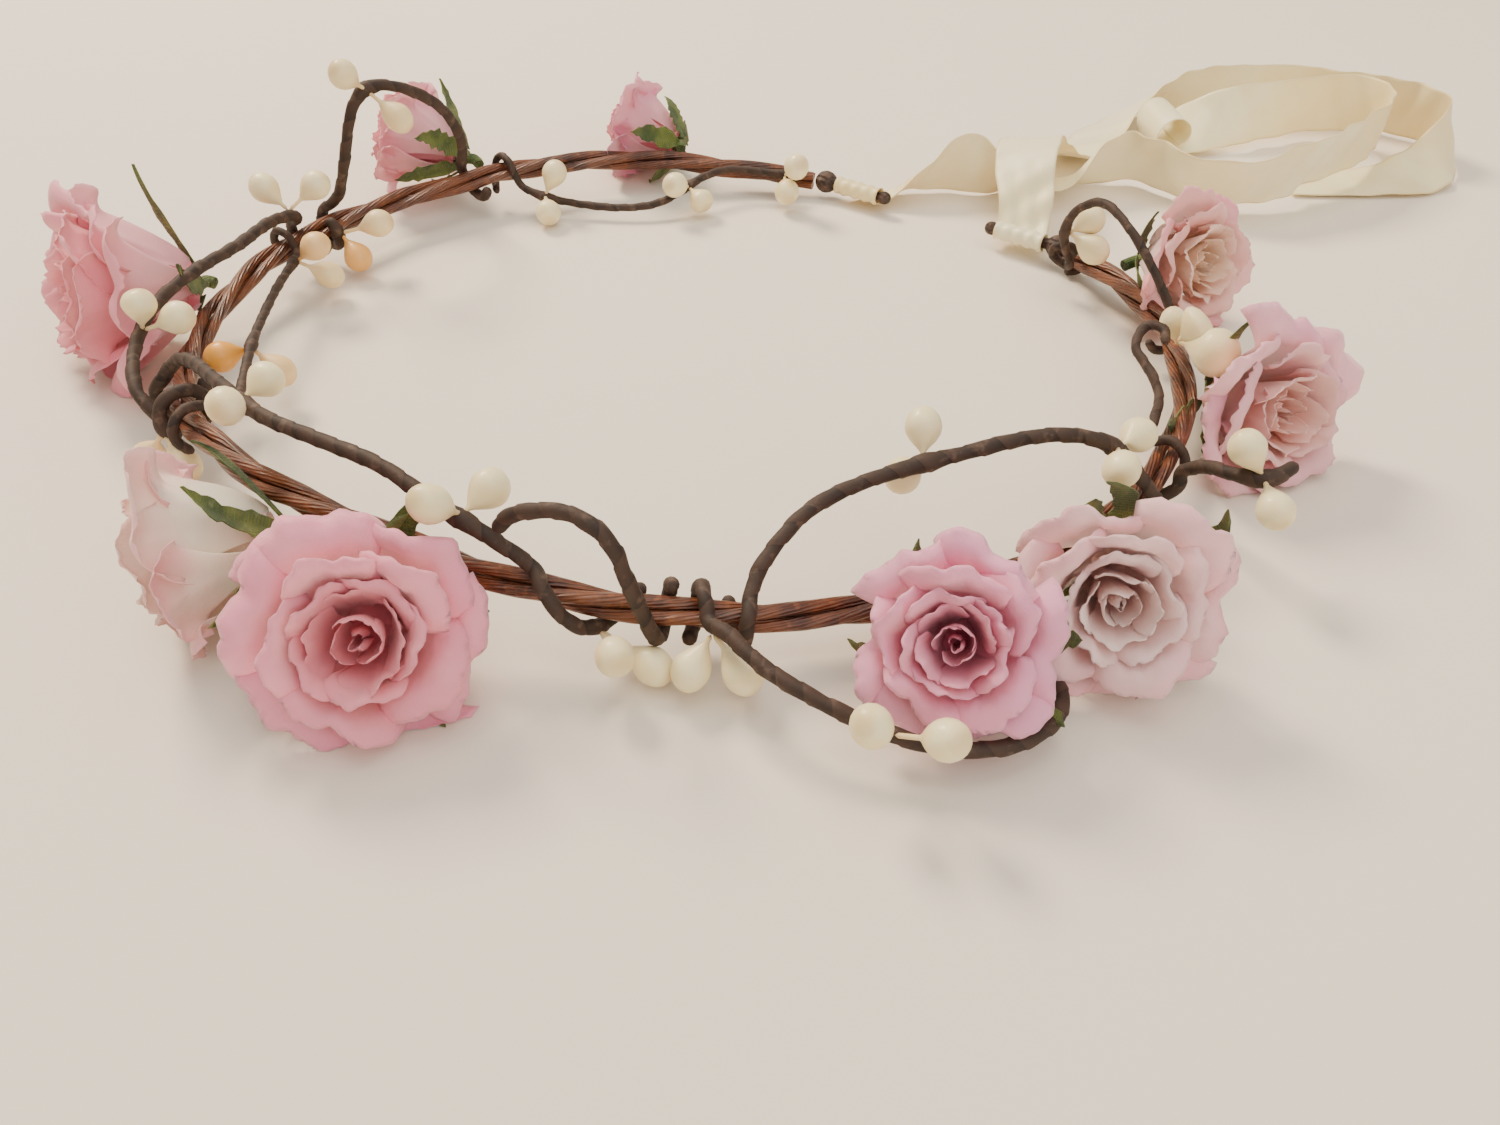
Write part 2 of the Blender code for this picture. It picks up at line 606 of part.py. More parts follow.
# Stations of a ribbon, in millimetres and degrees: along the tie axis, out from it, height of the
# lower edge, lean of the cloth (0 flat, 90 on edge) and width as a share of the full width.
LEFT_RIBBON = [
    (13.5, 5.5, 1.0, 10, 0.6), (19, 11.5, 0.6, 45, 0.75), (25.5, 20, 0.5, 80, 1),
    (32, 23.5, 0.5, 78, 1), (39.5, 26, 0.5, 40, 1), (47, 31.5, 0.5, 22, 1), (53.5, 42, 0.5, 45, 1),
    (60, 50, 0.5, 72, 1), (70, 50, 0.5, 74, 1), (82, 46.5, 0.5, 66, 1), (92, 51.5, 0.8, 68, 1),
    (100, 62, 1.8, 74, 1), (107, 79, 3.2, 80, 1), (111, 99, 3.0, 84, 1), (106.5, 114, 2.0, 88, 1),
    (95, 115.5, 1.5, 90, 1), (83, 103, 1.0, 84, 1), (73, 91.5, 1.0, 62, 1), (65, 84, 1.4, 30, 1),
]
RIGHT_RIBBON = [
    (-12, 6, 3.5, 8, 0.8), (-14.5, 11, 9, 8, 0.85), (-18.5, 17, 13.2, 8, 0.95),
    (-22, 25, 15.5, 10, 1), (-24.5, 34, 13.5, 12, 1), (-25, 44, 7.5, 12, 1), (-22.5, 56, 2.2, 10, 1),
    (-22.5, 68, 1, 10, 1), (-23, 80, 0.8, 16, 1), (-19.5, 94, 0.6, 45, 1), (-7, 107, 0.5, 80, 1),
    (9, 118, 0.5, 88, 1), (27, 125, 0.5, 88, 1), (45, 127, 0.5, 86, 1), (57, 122, 0.5, 78, 1),
    (61, 110, 0.5, 55, 1), (57.5, 98.5, 0.5, 18, 1), (48, 90, 0.5, 3, 1), (38, 83, 0.5, 3, 1),
    (29.5, 77, 0.5, 12, 0.94),
]
STATION_HALF_GAP = 33 * MM  # half of the gap between the band's ends that the stations suit
ROLL_RADIUS = 6.4 * MM
ROLL_TURN = 225.0
ROLL_TIGHTENING = 0.4  # how much smaller the roll's radius is at its free edge
ROLL_LIFT = 1.2 * MM  # from the plane z = 0 to the underside of the roll
ROLL_STEPS = 9
BLEND_STATIONS = 4  # the first stations move with the ribbon's own end, the others with both ends


def section(centre, wide):
    """Six numbers that interpolate together: a section's middle and half of its width."""
    return Vector((*centre, *wide))


def sleeve_sections(end, inward):
    """The ribbon's turn round the neck, up to where it leaves the neck underneath, outward."""
    radius = NECK_RADIUS + 1.5 * GAP + RIBBON_THICKNESS / 2
    middle = end + inward * (END_BALL_RADIUS + GAP * 2 + SLEEVE_WIDTH / 2)
    half_step = math.radians(SLEEVE_TURN / SLEEVE_STEPS / 2)
    sections = []
    for i in range(SLEEVE_STEPS + 1):
        turn = math.radians(-90 - SLEEVE_TURN + SLEEVE_TURN * i / SLEEVE_STEPS)
        spoke = TIE_OUT * math.cos(turn) + UP * math.sin(turn)
        centre = middle + spoke * radius / math.cos(half_step)
        sections.append(section(centre, TIE_AXIS * SLEEVE_WIDTH / 2))
    return sections


def route_sections(stations, end, shift):
    """Sections at the stations. shift is how far along the tie axis the middle lies from that end."""
    centres = []
    for i, (along, out, foot, lean, share) in enumerate(stations):
        blend = min(1, i / BLEND_STATIONS)
        origin = end.lerp(TIE_MIDDLE - TIE_AXIS * shift, blend)
        origin.z = 0
        rise = foot * MM + RIBBON_WIDTH * share / 2 * math.sin(math.radians(lean))
        centres.append(origin + TIE_AXIS * along * MM + TIE_OUT * out * MM + UP * rise)
    sections = []
    for i, (along, out, foot, lean, share) in enumerate(stations):
        ahead = centres[min(i + 1, len(centres) - 1)] - centres[max(i - 1, 0)]
        across = Vector((ahead.x, ahead.y, 0)).normalized().cross(UP)
        angle = math.radians(lean)
        wide = (across * math.cos(angle) + UP * math.sin(angle)) * (RIBBON_WIDTH * share / 2)
        sections.append(section(centres[i], wide))
    return sections


def roll_sections(last, before):
    """The cloth rolls up and over at its free end."""
    centre = Vector(last[:3])
    wide = Vector(last[3:])
    wide.z = 0
    wide = wide.normalized() * RIBBON_WIDTH / 2
    ahead = centre - Vector(before[:3])
    ahead = (ahead - wide.normalized() * ahead.dot(wide.normalized()))
    ahead.z = 0
    ahead.normalize()
    hub = centre + ahead * ROLL_RADIUS
    hub.z = ROLL_RADIUS + ROLL_LIFT
    sections = []
    for i in range(1, ROLL_STEPS + 1):
        turn = math.radians(-90 + ROLL_TURN * i / ROLL_STEPS)
        radius = ROLL_RADIUS * (1 - ROLL_TIGHTENING * i / ROLL_STEPS)
        centre = hub + (ahead * math.cos(turn) + UP * math.sin(turn)) * radius
        sections.append(section(centre, wide))
    return sections


def make_ribbon(name, sections):
    mesh = bpy.data.meshes.new(name)
    shape = bmesh.new()
    rows = []
    for part in sections:
        centre = Vector(part[:3])
        wide = Vector(part[3:])
        rows.append((shape.verts.new(centre - wide), shape.verts.new(centre + wide)))
    for (a, b), (c, d) in zip(rows, rows[1:]):
        shape.faces.new((a, b, d, c))
    shape.to_mesh(mesh)
    shape.free()
    cloth = add_object(name, mesh, RIBBON_IVORY)
    thickness = cloth.modifiers.new("cloth", "SOLIDIFY")
    thickness.thickness = RIBBON_THICKNESS
    thickness.offset = 0
    smooth_mesh(mesh)


def make_ribbons():
    sleeve = sleeve_sections(LEFT_END, TIE_AXIS)
    run = route_sections(LEFT_RIBBON, LEFT_END, STATION_HALF_GAP)
    run += roll_sections(run[-1], run[-2])
    make_ribbon("ribbon_left", sleeve + through([sleeve[-1]] + run, RIBBON_SAMPLES)[1:])
    sleeve = sleeve_sections(RIGHT_END, -TIE_AXIS)
    run = route_sections(RIGHT_RIBBON, RIGHT_END, -STATION_HALF_GAP)
    make_ribbon("ribbon_right", sleeve + through([sleeve[-1]] + run, RIBBON_SAMPLES)[1:])


make_strands()
make_ends()
vine_lines = make_vines()
make_berries(vine_lines)
make_roses()
make_ribbons()
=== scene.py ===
import json
import math
import random

import bmesh
import bpy
import numpy as np
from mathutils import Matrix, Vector


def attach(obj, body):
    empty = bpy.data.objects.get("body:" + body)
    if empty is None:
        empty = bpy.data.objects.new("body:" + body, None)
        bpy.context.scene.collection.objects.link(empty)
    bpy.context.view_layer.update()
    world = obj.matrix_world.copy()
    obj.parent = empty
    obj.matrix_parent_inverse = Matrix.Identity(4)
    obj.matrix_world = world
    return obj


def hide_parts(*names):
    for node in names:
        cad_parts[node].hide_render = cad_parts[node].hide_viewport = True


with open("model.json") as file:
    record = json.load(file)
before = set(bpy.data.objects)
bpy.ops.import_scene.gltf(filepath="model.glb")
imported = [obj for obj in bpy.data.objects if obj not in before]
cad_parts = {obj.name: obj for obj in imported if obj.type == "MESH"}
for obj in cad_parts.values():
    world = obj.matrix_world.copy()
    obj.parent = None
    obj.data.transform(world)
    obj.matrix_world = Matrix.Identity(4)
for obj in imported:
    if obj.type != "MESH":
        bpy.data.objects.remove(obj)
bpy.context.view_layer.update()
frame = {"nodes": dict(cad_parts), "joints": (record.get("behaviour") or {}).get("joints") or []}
mm = 0.001
up = Vector((0, 0, 1))
mergeWithin = 0.002 * mm  # points nearer than this are one point
print("frame loaded")


view = {"place": (0.0187, -0.2242, 0.1428), "down": 40.96, "lens": 30.0}


def makeCamera():
    camera = bpy.data.cameras.new("viewCamera")
    camera.lens = view["lens"]
    camera.sensor_width = 36
    camera.clip_start = 0.01
    holder = bpy.data.objects.new("viewCamera", camera)
    bpy.context.scene.collection.objects.link(holder)
    holder.location = view["place"]
    holder.rotation_euler = (math.radians(90 - view["down"]), 0, 0)
    bpy.context.scene.camera = holder


makeCamera()


# small tools that every maker below uses
def clearSelection():
    if bpy.context.mode != "OBJECT":
        bpy.ops.object.mode_set(mode="OBJECT")
    bpy.ops.object.select_all(action="DESELECT")


def pickOnly(piece):
    clearSelection()
    piece.select_set(True)
    bpy.context.view_layer.objects.active = piece


def editAll(piece, *steps):  # each step is a mesh operator, run on the whole piece
    pickOnly(piece)
    bpy.ops.object.mode_set(mode="EDIT")
    bpy.ops.mesh.select_all(action="SELECT")
    for step in steps:
        step()
    bpy.ops.object.mode_set(mode="OBJECT")


def mergeDoubles():
    bpy.ops.mesh.remove_doubles(threshold=mergeWithin)


def facesOut():
    bpy.ops.mesh.normals_make_consistent(inside=False)


# a flat grid whose points go to placeAt(u, v); u runs across and v along, both from 0 to 1
def gridPiece(name, across, along, placeAt, uvSize=(1.0, 1.0)):
    clearSelection()
    bpy.ops.mesh.primitive_grid_add(x_subdivisions=across, y_subdivisions=along, size=1)
    piece = bpy.context.object
    piece.name = piece.data.name = name
    mesh = piece.data
    flat = np.empty(len(mesh.vertices) * 3, np.float32)
    mesh.vertices.foreach_get("co", flat)
    flat = flat.reshape(-1, 3).astype(float)
    placed = placeAt(flat[:, 0] + 0.5, flat[:, 1] + 0.5)
    mesh.vertices.foreach_set("co", placed.astype(np.float32).ravel())
    layer = mesh.uv_layers.active.data
    uv = np.empty(len(layer) * 2, np.float32)
    layer.foreach_get("uv", uv)
    uv = uv.reshape(-1, 2) * np.array(uvSize, np.float32)
    layer.foreach_set("uv", uv.ravel())
    mesh.update()
    return piece


def setValue(piece, name, values):  # one value for each point, which the material reads
    data = piece.data.attributes.new(name, "FLOAT", "POINT")
    data.data.foreach_set("value", np.asarray(values, np.float32))


def joinInto(name, parts):
    clearSelection()
    for part in parts:
        part.select_set(True)
    bpy.context.view_layer.objects.active = parts[0]
    bpy.ops.object.join()
    parts[0].name = parts[0].data.name = name
    return parts[0]


def applyModifier(piece, kind, **settings):
    pickOnly(piece)
    modifier = piece.modifiers.new(kind.lower(), kind)
    for key, value in settings.items():
        setattr(modifier, key, value)
    bpy.ops.object.modifier_apply(modifier=modifier.name)


def smooth(piece, degrees=50):
    pickOnly(piece)
    bpy.ops.object.shade_smooth_by_angle(angle=math.radians(degrees))


def finishPiece(piece, body, material, slot, *nodes):
    piece.data.materials.clear()
    piece.data.materials.append(material)
    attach(piece, body)
    if nodes:
        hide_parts(*nodes)
    return piece


# a merged copy of a node's mesh, for reading its shape
def shapeOf(nodeName):
    shape = bmesh.new()
    shape.from_mesh(frame["nodes"][nodeName].data)
    bmesh.ops.remove_doubles(shape, verts=shape.verts, dist=mergeWithin)
    shape.verts.ensure_lookup_table()
    return shape


def middlesOf(rings):
    return np.array([ring.mean(0) for ring in rings])


def ringSize(ring):
    return np.linalg.norm(ring - ring.mean(0), axis=1).mean()


# the rings of points along a tube of the frame, from one flat end to the other
def ringsOf(nodeName, sides):
    shape = shapeOf(nodeName)
    ringAngle = 1.22  # an end's rim is sharper than this, in radians
    links = {}
    for edge in shape.edges:
        if len(edge.link_faces) == 2 and edge.calc_face_angle() > ringAngle:
            for vert in edge.verts:
                links.setdefault(vert.index, []).append(edge.other_vert(vert).index)
    ends = []
    seen = set()
    for first in sorted(links):
        group = []
        waiting = [first]
        while waiting:
            index = waiting.pop()
            if index not in seen:
                seen.add(index)
                group.append(index)
                waiting += links[index]
        if len(group) == sides:
            ends.append(sorted(group))
    level = ends[0]
    done = set(level)
    rings = []
    while level:
        rings.append(np.array([shape.verts[i].co for i in level], float))
        ahead = set()
        for i in level:
            for edge in shape.verts[i].link_edges:
                ahead.add(edge.other_vert(shape.verts[i]).index)
        level = sorted(ahead - done)
        done |= ahead
    shape.free()
    return rings


def roundedThrough(points, steps):  # a rounded line through the points, in steps between them
    p = np.vstack([points[0], points, points[-1]])
    t = np.linspace(0, 1, steps, endpoint=False)[:, None]
    runs = []
    for a, b, c, d in zip(p[:-3], p[1:-2], p[2:-1], p[3:]):
        runs.append(0.5 * (2 * b + (c - a) * t + (2 * a - 5 * b + 4 * c - d) * t**2
                           + (3 * b - a - 3 * c + d) * t**3))
    return np.vstack(runs + [p[-1][None]])


def lengthAlong(line):
    gaps = np.linalg.norm(np.diff(line[:, :3], axis=0), axis=1)
    return np.concatenate([[0], np.cumsum(gaps)])


def evenSteps(line, length, count):  # the same line with count equal steps, and their places
    places = np.linspace(0, length[-1], count + 1)
    columns = [np.interp(places, length, line[:, k]) for k in range(line.shape[1])]
    return np.column_stack(columns), places


def smoothLine(points, step):
    line = roundedThrough(points, 8)
    length = lengthAlong(line)
    return evenSteps(line, length, max(3, int(round(length[-1] / step))))


# two directions square to the line at each of its points, which don't spin along it
def lineFrames(line):
    along = np.gradient(line, axis=0)
    along /= np.linalg.norm(along, axis=1)[:, None]
    side = np.empty_like(line)
    first = np.cross(along[0], (0, 0, 1))
    if np.linalg.norm(first) < 0.1:
        first = np.cross(along[0], (1, 0, 0))
    side[0] = first / np.linalg.norm(first)
    for i in range(1, len(line)):
        turned = side[i - 1] - along[i] * (side[i - 1] @ along[i])
        side[i] = turned / np.linalg.norm(turned)
    return side, np.cross(along, side)


def fullTurn(u):  # the angle round a closed shape, whose last column meets its first
    turn = u * math.tau
    turn[np.isclose(u, 1)] = 0
    return turn


# points at a height along an axis, an angle round it and a distance out from it
def placeRound(at, rise, turn, out):
    middle, side, over, axis = at
    spoke = np.outer(np.cos(turn), side) + np.outer(np.sin(turn), over)
    return middle + np.outer(rise, axis) + spoke * out[:, None]


# a closed round wire along the line; radiusAt(places, turn) gives its radius
def tubePiece(name, line, places, radiusAt, sides):
    side, over = lineFrames(line)
    count = len(line)

    def placeAt(u, v):
        row = np.rint(v * (count + 1)).astype(int)
        ring = np.clip(row - 1, 0, count - 1)
        turn = fullTurn(u)
        radius = radiusAt(places[ring], turn)
        radius[(row == 0) | (row == count + 1)] = 0
        spoke = side[ring] * np.cos(turn)[:, None] + over[ring] * np.sin(turn)[:, None]
        return line[ring] + spoke * radius[:, None]

    piece = gridPiece(name, sides, count + 1, placeAt, (1.0, places[-1] * 100))
    editAll(piece, mergeDoubles, facesOut)
    return piece


def waves(seed, count, low, high):  # a soft ripple of sine waves, low to high in length
    rng = random.Random(seed)
    parts = [(math.tau / rng.uniform(low, high), rng.uniform(0, math.tau)) for _ in range(count)]

    def ripple(x):
        return sum(np.sin(x * rate + phase) for rate, phase in parts) / count

    return ripple


print("tools ready")


# finishes: short ways to add nodes, and the groups that several finishes share
def newFinish(name, roughness=0.6, **sockets):
    material = bpy.data.materials.new(name)
    material.use_nodes = True
    shader = material.node_tree.nodes["Principled BSDF"]
    shader.inputs["Roughness"].default_value = roughness
    for label, value in sockets.items():
        shader.inputs[label.replace("_", " ")].default_value = value
    return material, material.node_tree, shader


def addNode(tree, kind, settings=None, **inputs):
    node = tree.nodes.new("ShaderNode" + kind)
    for key, value in (settings or {}).items():
        setattr(node, key, value)
    for label, value in inputs.items():
        socket = node.inputs[int(label[1:])] if label[1:].isdigit() else node.inputs[label]
        if isinstance(value, bpy.types.NodeSocket):
            tree.links.new(value, socket)
        else:
            socket.default_value = value
    return node


def mathNode(tree, operation, a, b=0.0):
    return addNode(tree, "Math", {"operation": operation}, _0=a, _1=b).outputs[0]


def times(tree, a, b):
    return mathNode(tree, "MULTIPLY", a, b)


def plus(tree, a, b):
    return mathNode(tree, "ADD", a, b)


def mixColour(tree, factor, a, b):
    node = addNode(tree, "Mix", {"data_type": "RGBA"})
    for index, value in ((0, factor), (6, a), (7, b)):
        if isinstance(value, bpy.types.NodeSocket):
            tree.links.new(value, node.inputs[index])
        else:
            node.inputs[index].default_value = value if index == 0 else (*value, 1.0)
    return node.outputs[2]


def rampNode(tree, factor, *stops):
    node = addNode(tree, "ValToRGB", Fac=factor)
    band = node.color_ramp
    while len(band.elements) > len(stops):
        band.elements.remove(band.elements[-1])
    while len(band.elements) < len(stops):
        band.elements.new(1.0)
    for element, (place, colour) in zip(band.elements, stops):
        element.position = place
        element.color = (*colour, 1.0)
    return node.outputs[0]


def attributeNode(tree, name):
    return addNode(tree, "Attribute", {"attribute_name": name}).outputs["Fac"]


def newGroup(name, inputs, outputs):
    group = bpy.data.node_groups.new(name, "ShaderNodeTree")
    for label, kind, value in inputs:
        socket = group.interface.new_socket(label, in_out="INPUT", socket_type=kind)
        if value is not None:
            socket.default_value = value
    for label, kind in outputs:
        group.interface.new_socket(label, in_out="OUTPUT", socket_type=kind)
    return group, group.nodes.new("NodeGroupInput"), group.nodes.new("NodeGroupOutput")


def useGroup(tree, group, **inputs):
    node = tree.nodes.new("ShaderNodeGroup")
    node.node_tree = group
    for label, value in inputs.items():
        socket = node.inputs[label.replace("_", " ")]
        if isinstance(value, bpy.types.NodeSocket):
            tree.links.new(value, socket)
        else:
            socket.default_value = value
    return node


def makeWeaveGroup():  # crossed threads: a height that rises over each thread
    group, start, end = newGroup(
        "clothWeave",
        [("Map", "NodeSocketVector", None), ("Across", "NodeSocketFloat", 100.0),
         ("Along", "NodeSocketFloat", 100.0)],
        [("Height", "NodeSocketFloat")],
    )
    parts = addNode(group, "SeparateXYZ", Vector=start.outputs["Map"])
    heights = []
    for axis, rate in ((0, "Across"), (1, "Along")):
        turns = times(group, parts.outputs[axis], start.outputs[rate])
        wave = mathNode(group, "SINE", times(group, turns, math.pi))
        heights.append(mathNode(group, "ABSOLUTE", wave))
    group.links.new(times(group, *heights), end.inputs["Height"])
    return group


def makeMottleGroup():  # soft uneven patches, from 0 to 1
    group, start, end = newGroup(
        "mottle",
        [("Place", "NodeSocketVector", None), ("Scale", "NodeSocketFloat", 200.0),
         ("Low", "NodeSocketFloat", 0.35), ("High", "NodeSocketFloat", 0.65)],
        [("Mask", "NodeSocketFloat")],
    )
    noise = addNode(group, "TexNoise", Vector=start.outputs["Place"], Scale=start.outputs["Scale"],
                    Detail=4.0)
    spread = addNode(group, "MapRange", {"interpolation_type": "SMOOTHSTEP"},
                     Value=noise.outputs[0])
    group.links.new(start.outputs["Low"], spread.inputs["From Min"])
    group.links.new(start.outputs["High"], spread.inputs["From Max"])
    group.links.new(spread.outputs[0], end.inputs["Mask"])
    return group


weave = makeWeaveGroup()
mottle = makeMottleGroup()


def objectPlace(tree):
    return addNode(tree, "TexCoord").outputs["Object"]


def ownMap(tree):
    return addNode(tree, "TexCoord").outputs["UV"]


def patchesOn(tree, scale, low=0.35, high=0.65):
    place = objectPlace(tree)
    return useGroup(tree, mottle, Place=place, Scale=scale, Low=low, High=high).outputs[0]


def bumpInto(tree, shader, height, distance, strength=0.6):
    bump = addNode(tree, "Bump", Height=height, Distance=distance, Strength=strength)
    tree.links.new(bump.outputs[0], shader.inputs["Normal"])


def colourInto(tree, shader, colour):
    tree.links.new(colour, shader.inputs["Base Color"])


stageLook = {
    "floor": (0.87, 0.79, 0.68), "stain": (0.55, 0.5, 0.45), "stainShare": 0.06, "floorSize": 80,
    "room": (1.0, 0.92, 0.81), "roomPower": 0.60,
    "lights": [  # name, place, size, power, colour
        ("keyLight", (-0.55, 0.75, 0.95), 0.40, 24.0, (1.0, 0.82, 0.62)),
        ("fillLight", (0.5, -0.9, 0.9), 1.2, 9.0, (1.0, 0.95, 0.90)),
        ("topLight", (0.1, 0.1, 1.3), 1.0, 7.0, (1.0, 0.95, 0.88)),
    ],
}


def makeStage():
    clearSelection()
    bpy.ops.mesh.primitive_plane_add(size=stageLook["floorSize"])
    floor = bpy.context.object
    floor.name = "floor"
    material, tree, shader = newFinish("floorFinish", 0.85)
    patches = patchesOn(tree, 3.0)
    stains = times(tree, patches, stageLook["stainShare"])
    colourInto(tree, shader, mixColour(tree, stains, stageLook["floor"], stageLook["stain"]))
    floor.data.materials.append(material)
    world = bpy.data.worlds.new("room")
    bpy.context.scene.world = world
    world.use_nodes = True
    background = world.node_tree.nodes["Background"]
    background.inputs["Color"].default_value = (*stageLook["room"], 1)
    background.inputs["Strength"].default_value = stageLook["roomPower"]
    for name, place, size, power, colour in stageLook["lights"]:
        lamp = bpy.data.lights.new(name, "AREA")
        lamp.size = size
        lamp.energy = power
        lamp.color = colour
        holder = bpy.data.objects.new(name, lamp)
        bpy.context.scene.collection.objects.link(holder)
        holder.location = place
        holder.rotation_euler = (-Vector(place)).to_track_quat("-Z", "Y").to_euler()


makeStage()
print("stage ready")


# band: three waxed strands twisted into one rope
bandLook = {
    "sides": 14, "step": 0.7 * mm, "swell": 1.02, "flatness": 0.05, "ridge": 0.045,
    "ridges": 5, "ridgePitch": 2.2 * mm,
    "dark": (0.028, 0.006, 0.003), "body": (0.12, 0.026, 0.009), "amber": (0.36, 0.11, 0.03),
    "stripes": 11,
}


def makeBandFinish():
    material, tree, shader = newFinish("bandWire", 0.36, Coat_Weight=0.25, Coat_Roughness=0.3)
    parts = addNode(tree, "SeparateXYZ", Vector=ownMap(tree))
    drift = addNode(tree, "TexNoise", Vector=ownMap(tree), Scale=3.0)
    lean = plus(tree, parts.outputs[0], times(tree, parts.outputs[1], 0.22))
    lean = plus(tree, lean, times(tree, drift.outputs[0], 0.06))
    stripes = mathNode(tree, "SINE", times(tree, lean, math.tau * bandLook["stripes"]))
    stripes = times(tree, plus(tree, stripes, 1.0), 0.5)
    # broad amber patches: the wax's own uneven colour
    patches = patchesOn(tree, 160.0, 0.3, 0.7)
    # painted highlight: fine amber spots stand in for glints on the glossy strands
    glintSpots = patchesOn(tree, 620.0, 0.52, 0.74)
    colour = mixColour(tree, times(tree, stripes, 0.75), bandLook["dark"], bandLook["body"])
    colour = mixColour(tree, times(tree, patches, 0.45), colour, bandLook["amber"])
    # mixes in the painted highlight spots
    colour = mixColour(tree, times(tree, glintSpots, 0.5), colour, bandLook["amber"])
    colourInto(tree, shader, colour)
    rough = plus(tree, times(tree, stripes, -0.15), 0.46)
    tree.links.new(rough, shader.inputs["Roughness"])
    bumpInto(tree, shader, stripes, 0.00022, 0.9)
    return material


def makeBand():
    finish = makeBandFinish()
    for number in (1, 2, 3):
        node = f"band_strand_{number}"
        rings = ringsOf(node, 6)
        line, places = smoothLine(middlesOf(rings), bandLook["step"])
        radius = ringSize(rings[5])
        ripple = waves(number, 4, 6 * mm, 22 * mm)

        def radiusAt(place, turn):
            ridge = np.sin(bandLook["ridges"] * turn + place / bandLook["ridgePitch"])
            uneven = bandLook["flatness"] * ripple(place + turn * mm)
            return radius * (bandLook["swell"] + uneven + bandLook["ridge"] * ridge)

        strand = tubePiece(f"bandStrand{number}", line, places, radiusAt, bandLook["sides"])
        smooth(strand, 70)
        finishPiece(strand, "crown", finish, "band_wire", node)


makeBand()
print("band made")


# garland: wires wound in paper tape
vineLook = {
    "sides": 12, "step": 0.55 * mm, "tapePitch": 4.6 * mm, "ridge": 0.16, "uneven": 0.10,
    "knot": 0.34, "knotLength": 2.4 * mm, "knotReach": 1.6 * mm, "tipStart": 0.55,
    "tipLength": 1.6 * mm, "dark": (0.016, 0.008, 0.005), "body": (0.062, 0.032, 0.020),
    "worn": (0.16, 0.10, 0.07),
}


def makeVineFinish():
    material, tree, shader = newFinish("garlandTape", 0.7)
    parts = addNode(tree, "SeparateXYZ", Vector=ownMap(tree))
    laps = times(tree, parts.outputs[1], 0.01 / vineLook["tapePitch"])
    lap = mathNode(tree, "FRACT", mathNode(tree, "SUBTRACT", laps, parts.outputs[0]))
    patches = patchesOn(tree, 120.0, 0.35, 0.7)
    creases = addNode(tree, "TexNoise", Vector=objectPlace(tree), Scale=1500.0, Detail=3.0)
    worn = patchesOn(tree, 420.0, 0.55, 0.72)
    colour = mixColour(tree, times(tree, lap, 0.8), vineLook["dark"], vineLook["body"])
    colour = mixColour(tree, times(tree, patches, 0.55), colour, vineLook["body"])
    colour = mixColour(tree, times(tree, worn, 0.5), colour, vineLook["worn"])
    colourInto(tree, shader, colour)
    height = plus(tree, times(tree, lap, 0.7), times(tree, creases.outputs[0], 0.5))
    bumpInto(tree, shader, height, 0.0002, 0.8)
    return material


# the radius along a taped wire: spiral laps, uneven tape, and knots where berries are bound
def tapedRadius(radius, length, knots, seed):
    ripple = waves(seed, 5, 4 * mm, 17 * mm)

    def radiusAt(place, turn):
        lap = (place / vineLook["tapePitch"] - turn / math.tau) % 1.0
        size = 1 - vineLook["ridge"] * 0.5 + vineLook["ridge"] * lap
        size = size + vineLook["uneven"] * ripple(place + 0.6 * mm * np.sin(turn))
        for knot in knots:
            near = (place - knot) / vineLook["knotLength"]
            size = size + vineLook["knot"] * np.exp(-(near**2))
        tip = np.minimum(place, length - place)
        return radius * size * np.clip(vineLook["tipStart"] + tip / vineLook["tipLength"], 0, 1)

    return radiusAt


# the middles and radii of a berry pair's rings from tip to tip, and where its thread is thinnest
def berryRings(node):
    shape = shapeOf(node)
    points = np.array([vert.co for vert in shape.verts])
    far = np.linalg.norm(points - points.mean(0), axis=1).argmax()
    start = np.linalg.norm(points - points[far], axis=1).argsort()[:8]
    level = [int(i) for i in start]
    done = set(level)
    rings = []
    while level:
        rings.append(points[level])
        ahead = {edge.other_vert(shape.verts[i]).index
                 for i in level for edge in shape.verts[i].link_edges}
        level = sorted(ahead - done)
        done |= ahead
    shape.free()
    radii = np.array([ringSize(ring) for ring in rings])
    thin = 2 + int((radii[2:-3] + radii[3:-2]).argmin())
    return middlesOf(rings), radii, thin


vineLines = []
berryPairs = {}
for node in sorted(frame["nodes"]):
    if node.startswith("berry_pair"):
        berryPairs[node] = berryRings(node)


def makeVines():
    finish = makeVineFinish()
    joints = np.array([middles[thin:thin + 2].mean(0) for middles, _, thin in berryPairs.values()])
    for number, node in enumerate(sorted(n for n in frame["nodes"] if n.startswith("vine_"))):
        rings = ringsOf(node, 6)
        line, places = smoothLine(middlesOf(rings), vineLook["step"])
        radius = ringSize(rings[2])
        vineLines.append(line)
        knots = []
        for joint in joints:
            away = np.linalg.norm(line - joint, axis=1)
            if away.min() < radius + vineLook["knotReach"]:
                knots.append(places[away.argmin()])
        name = "".join(word.title() for word in node.split("_"))
        vine = tubePiece(name[0].lower() + name[1:], line, places,
                         tapedRadius(radius, places[-1], knots, number), vineLook["sides"])
        smooth(vine, 60)
        finishPiece(vine, "crown", finish, "garland_tape", node)


makeVines()
print("garland made")


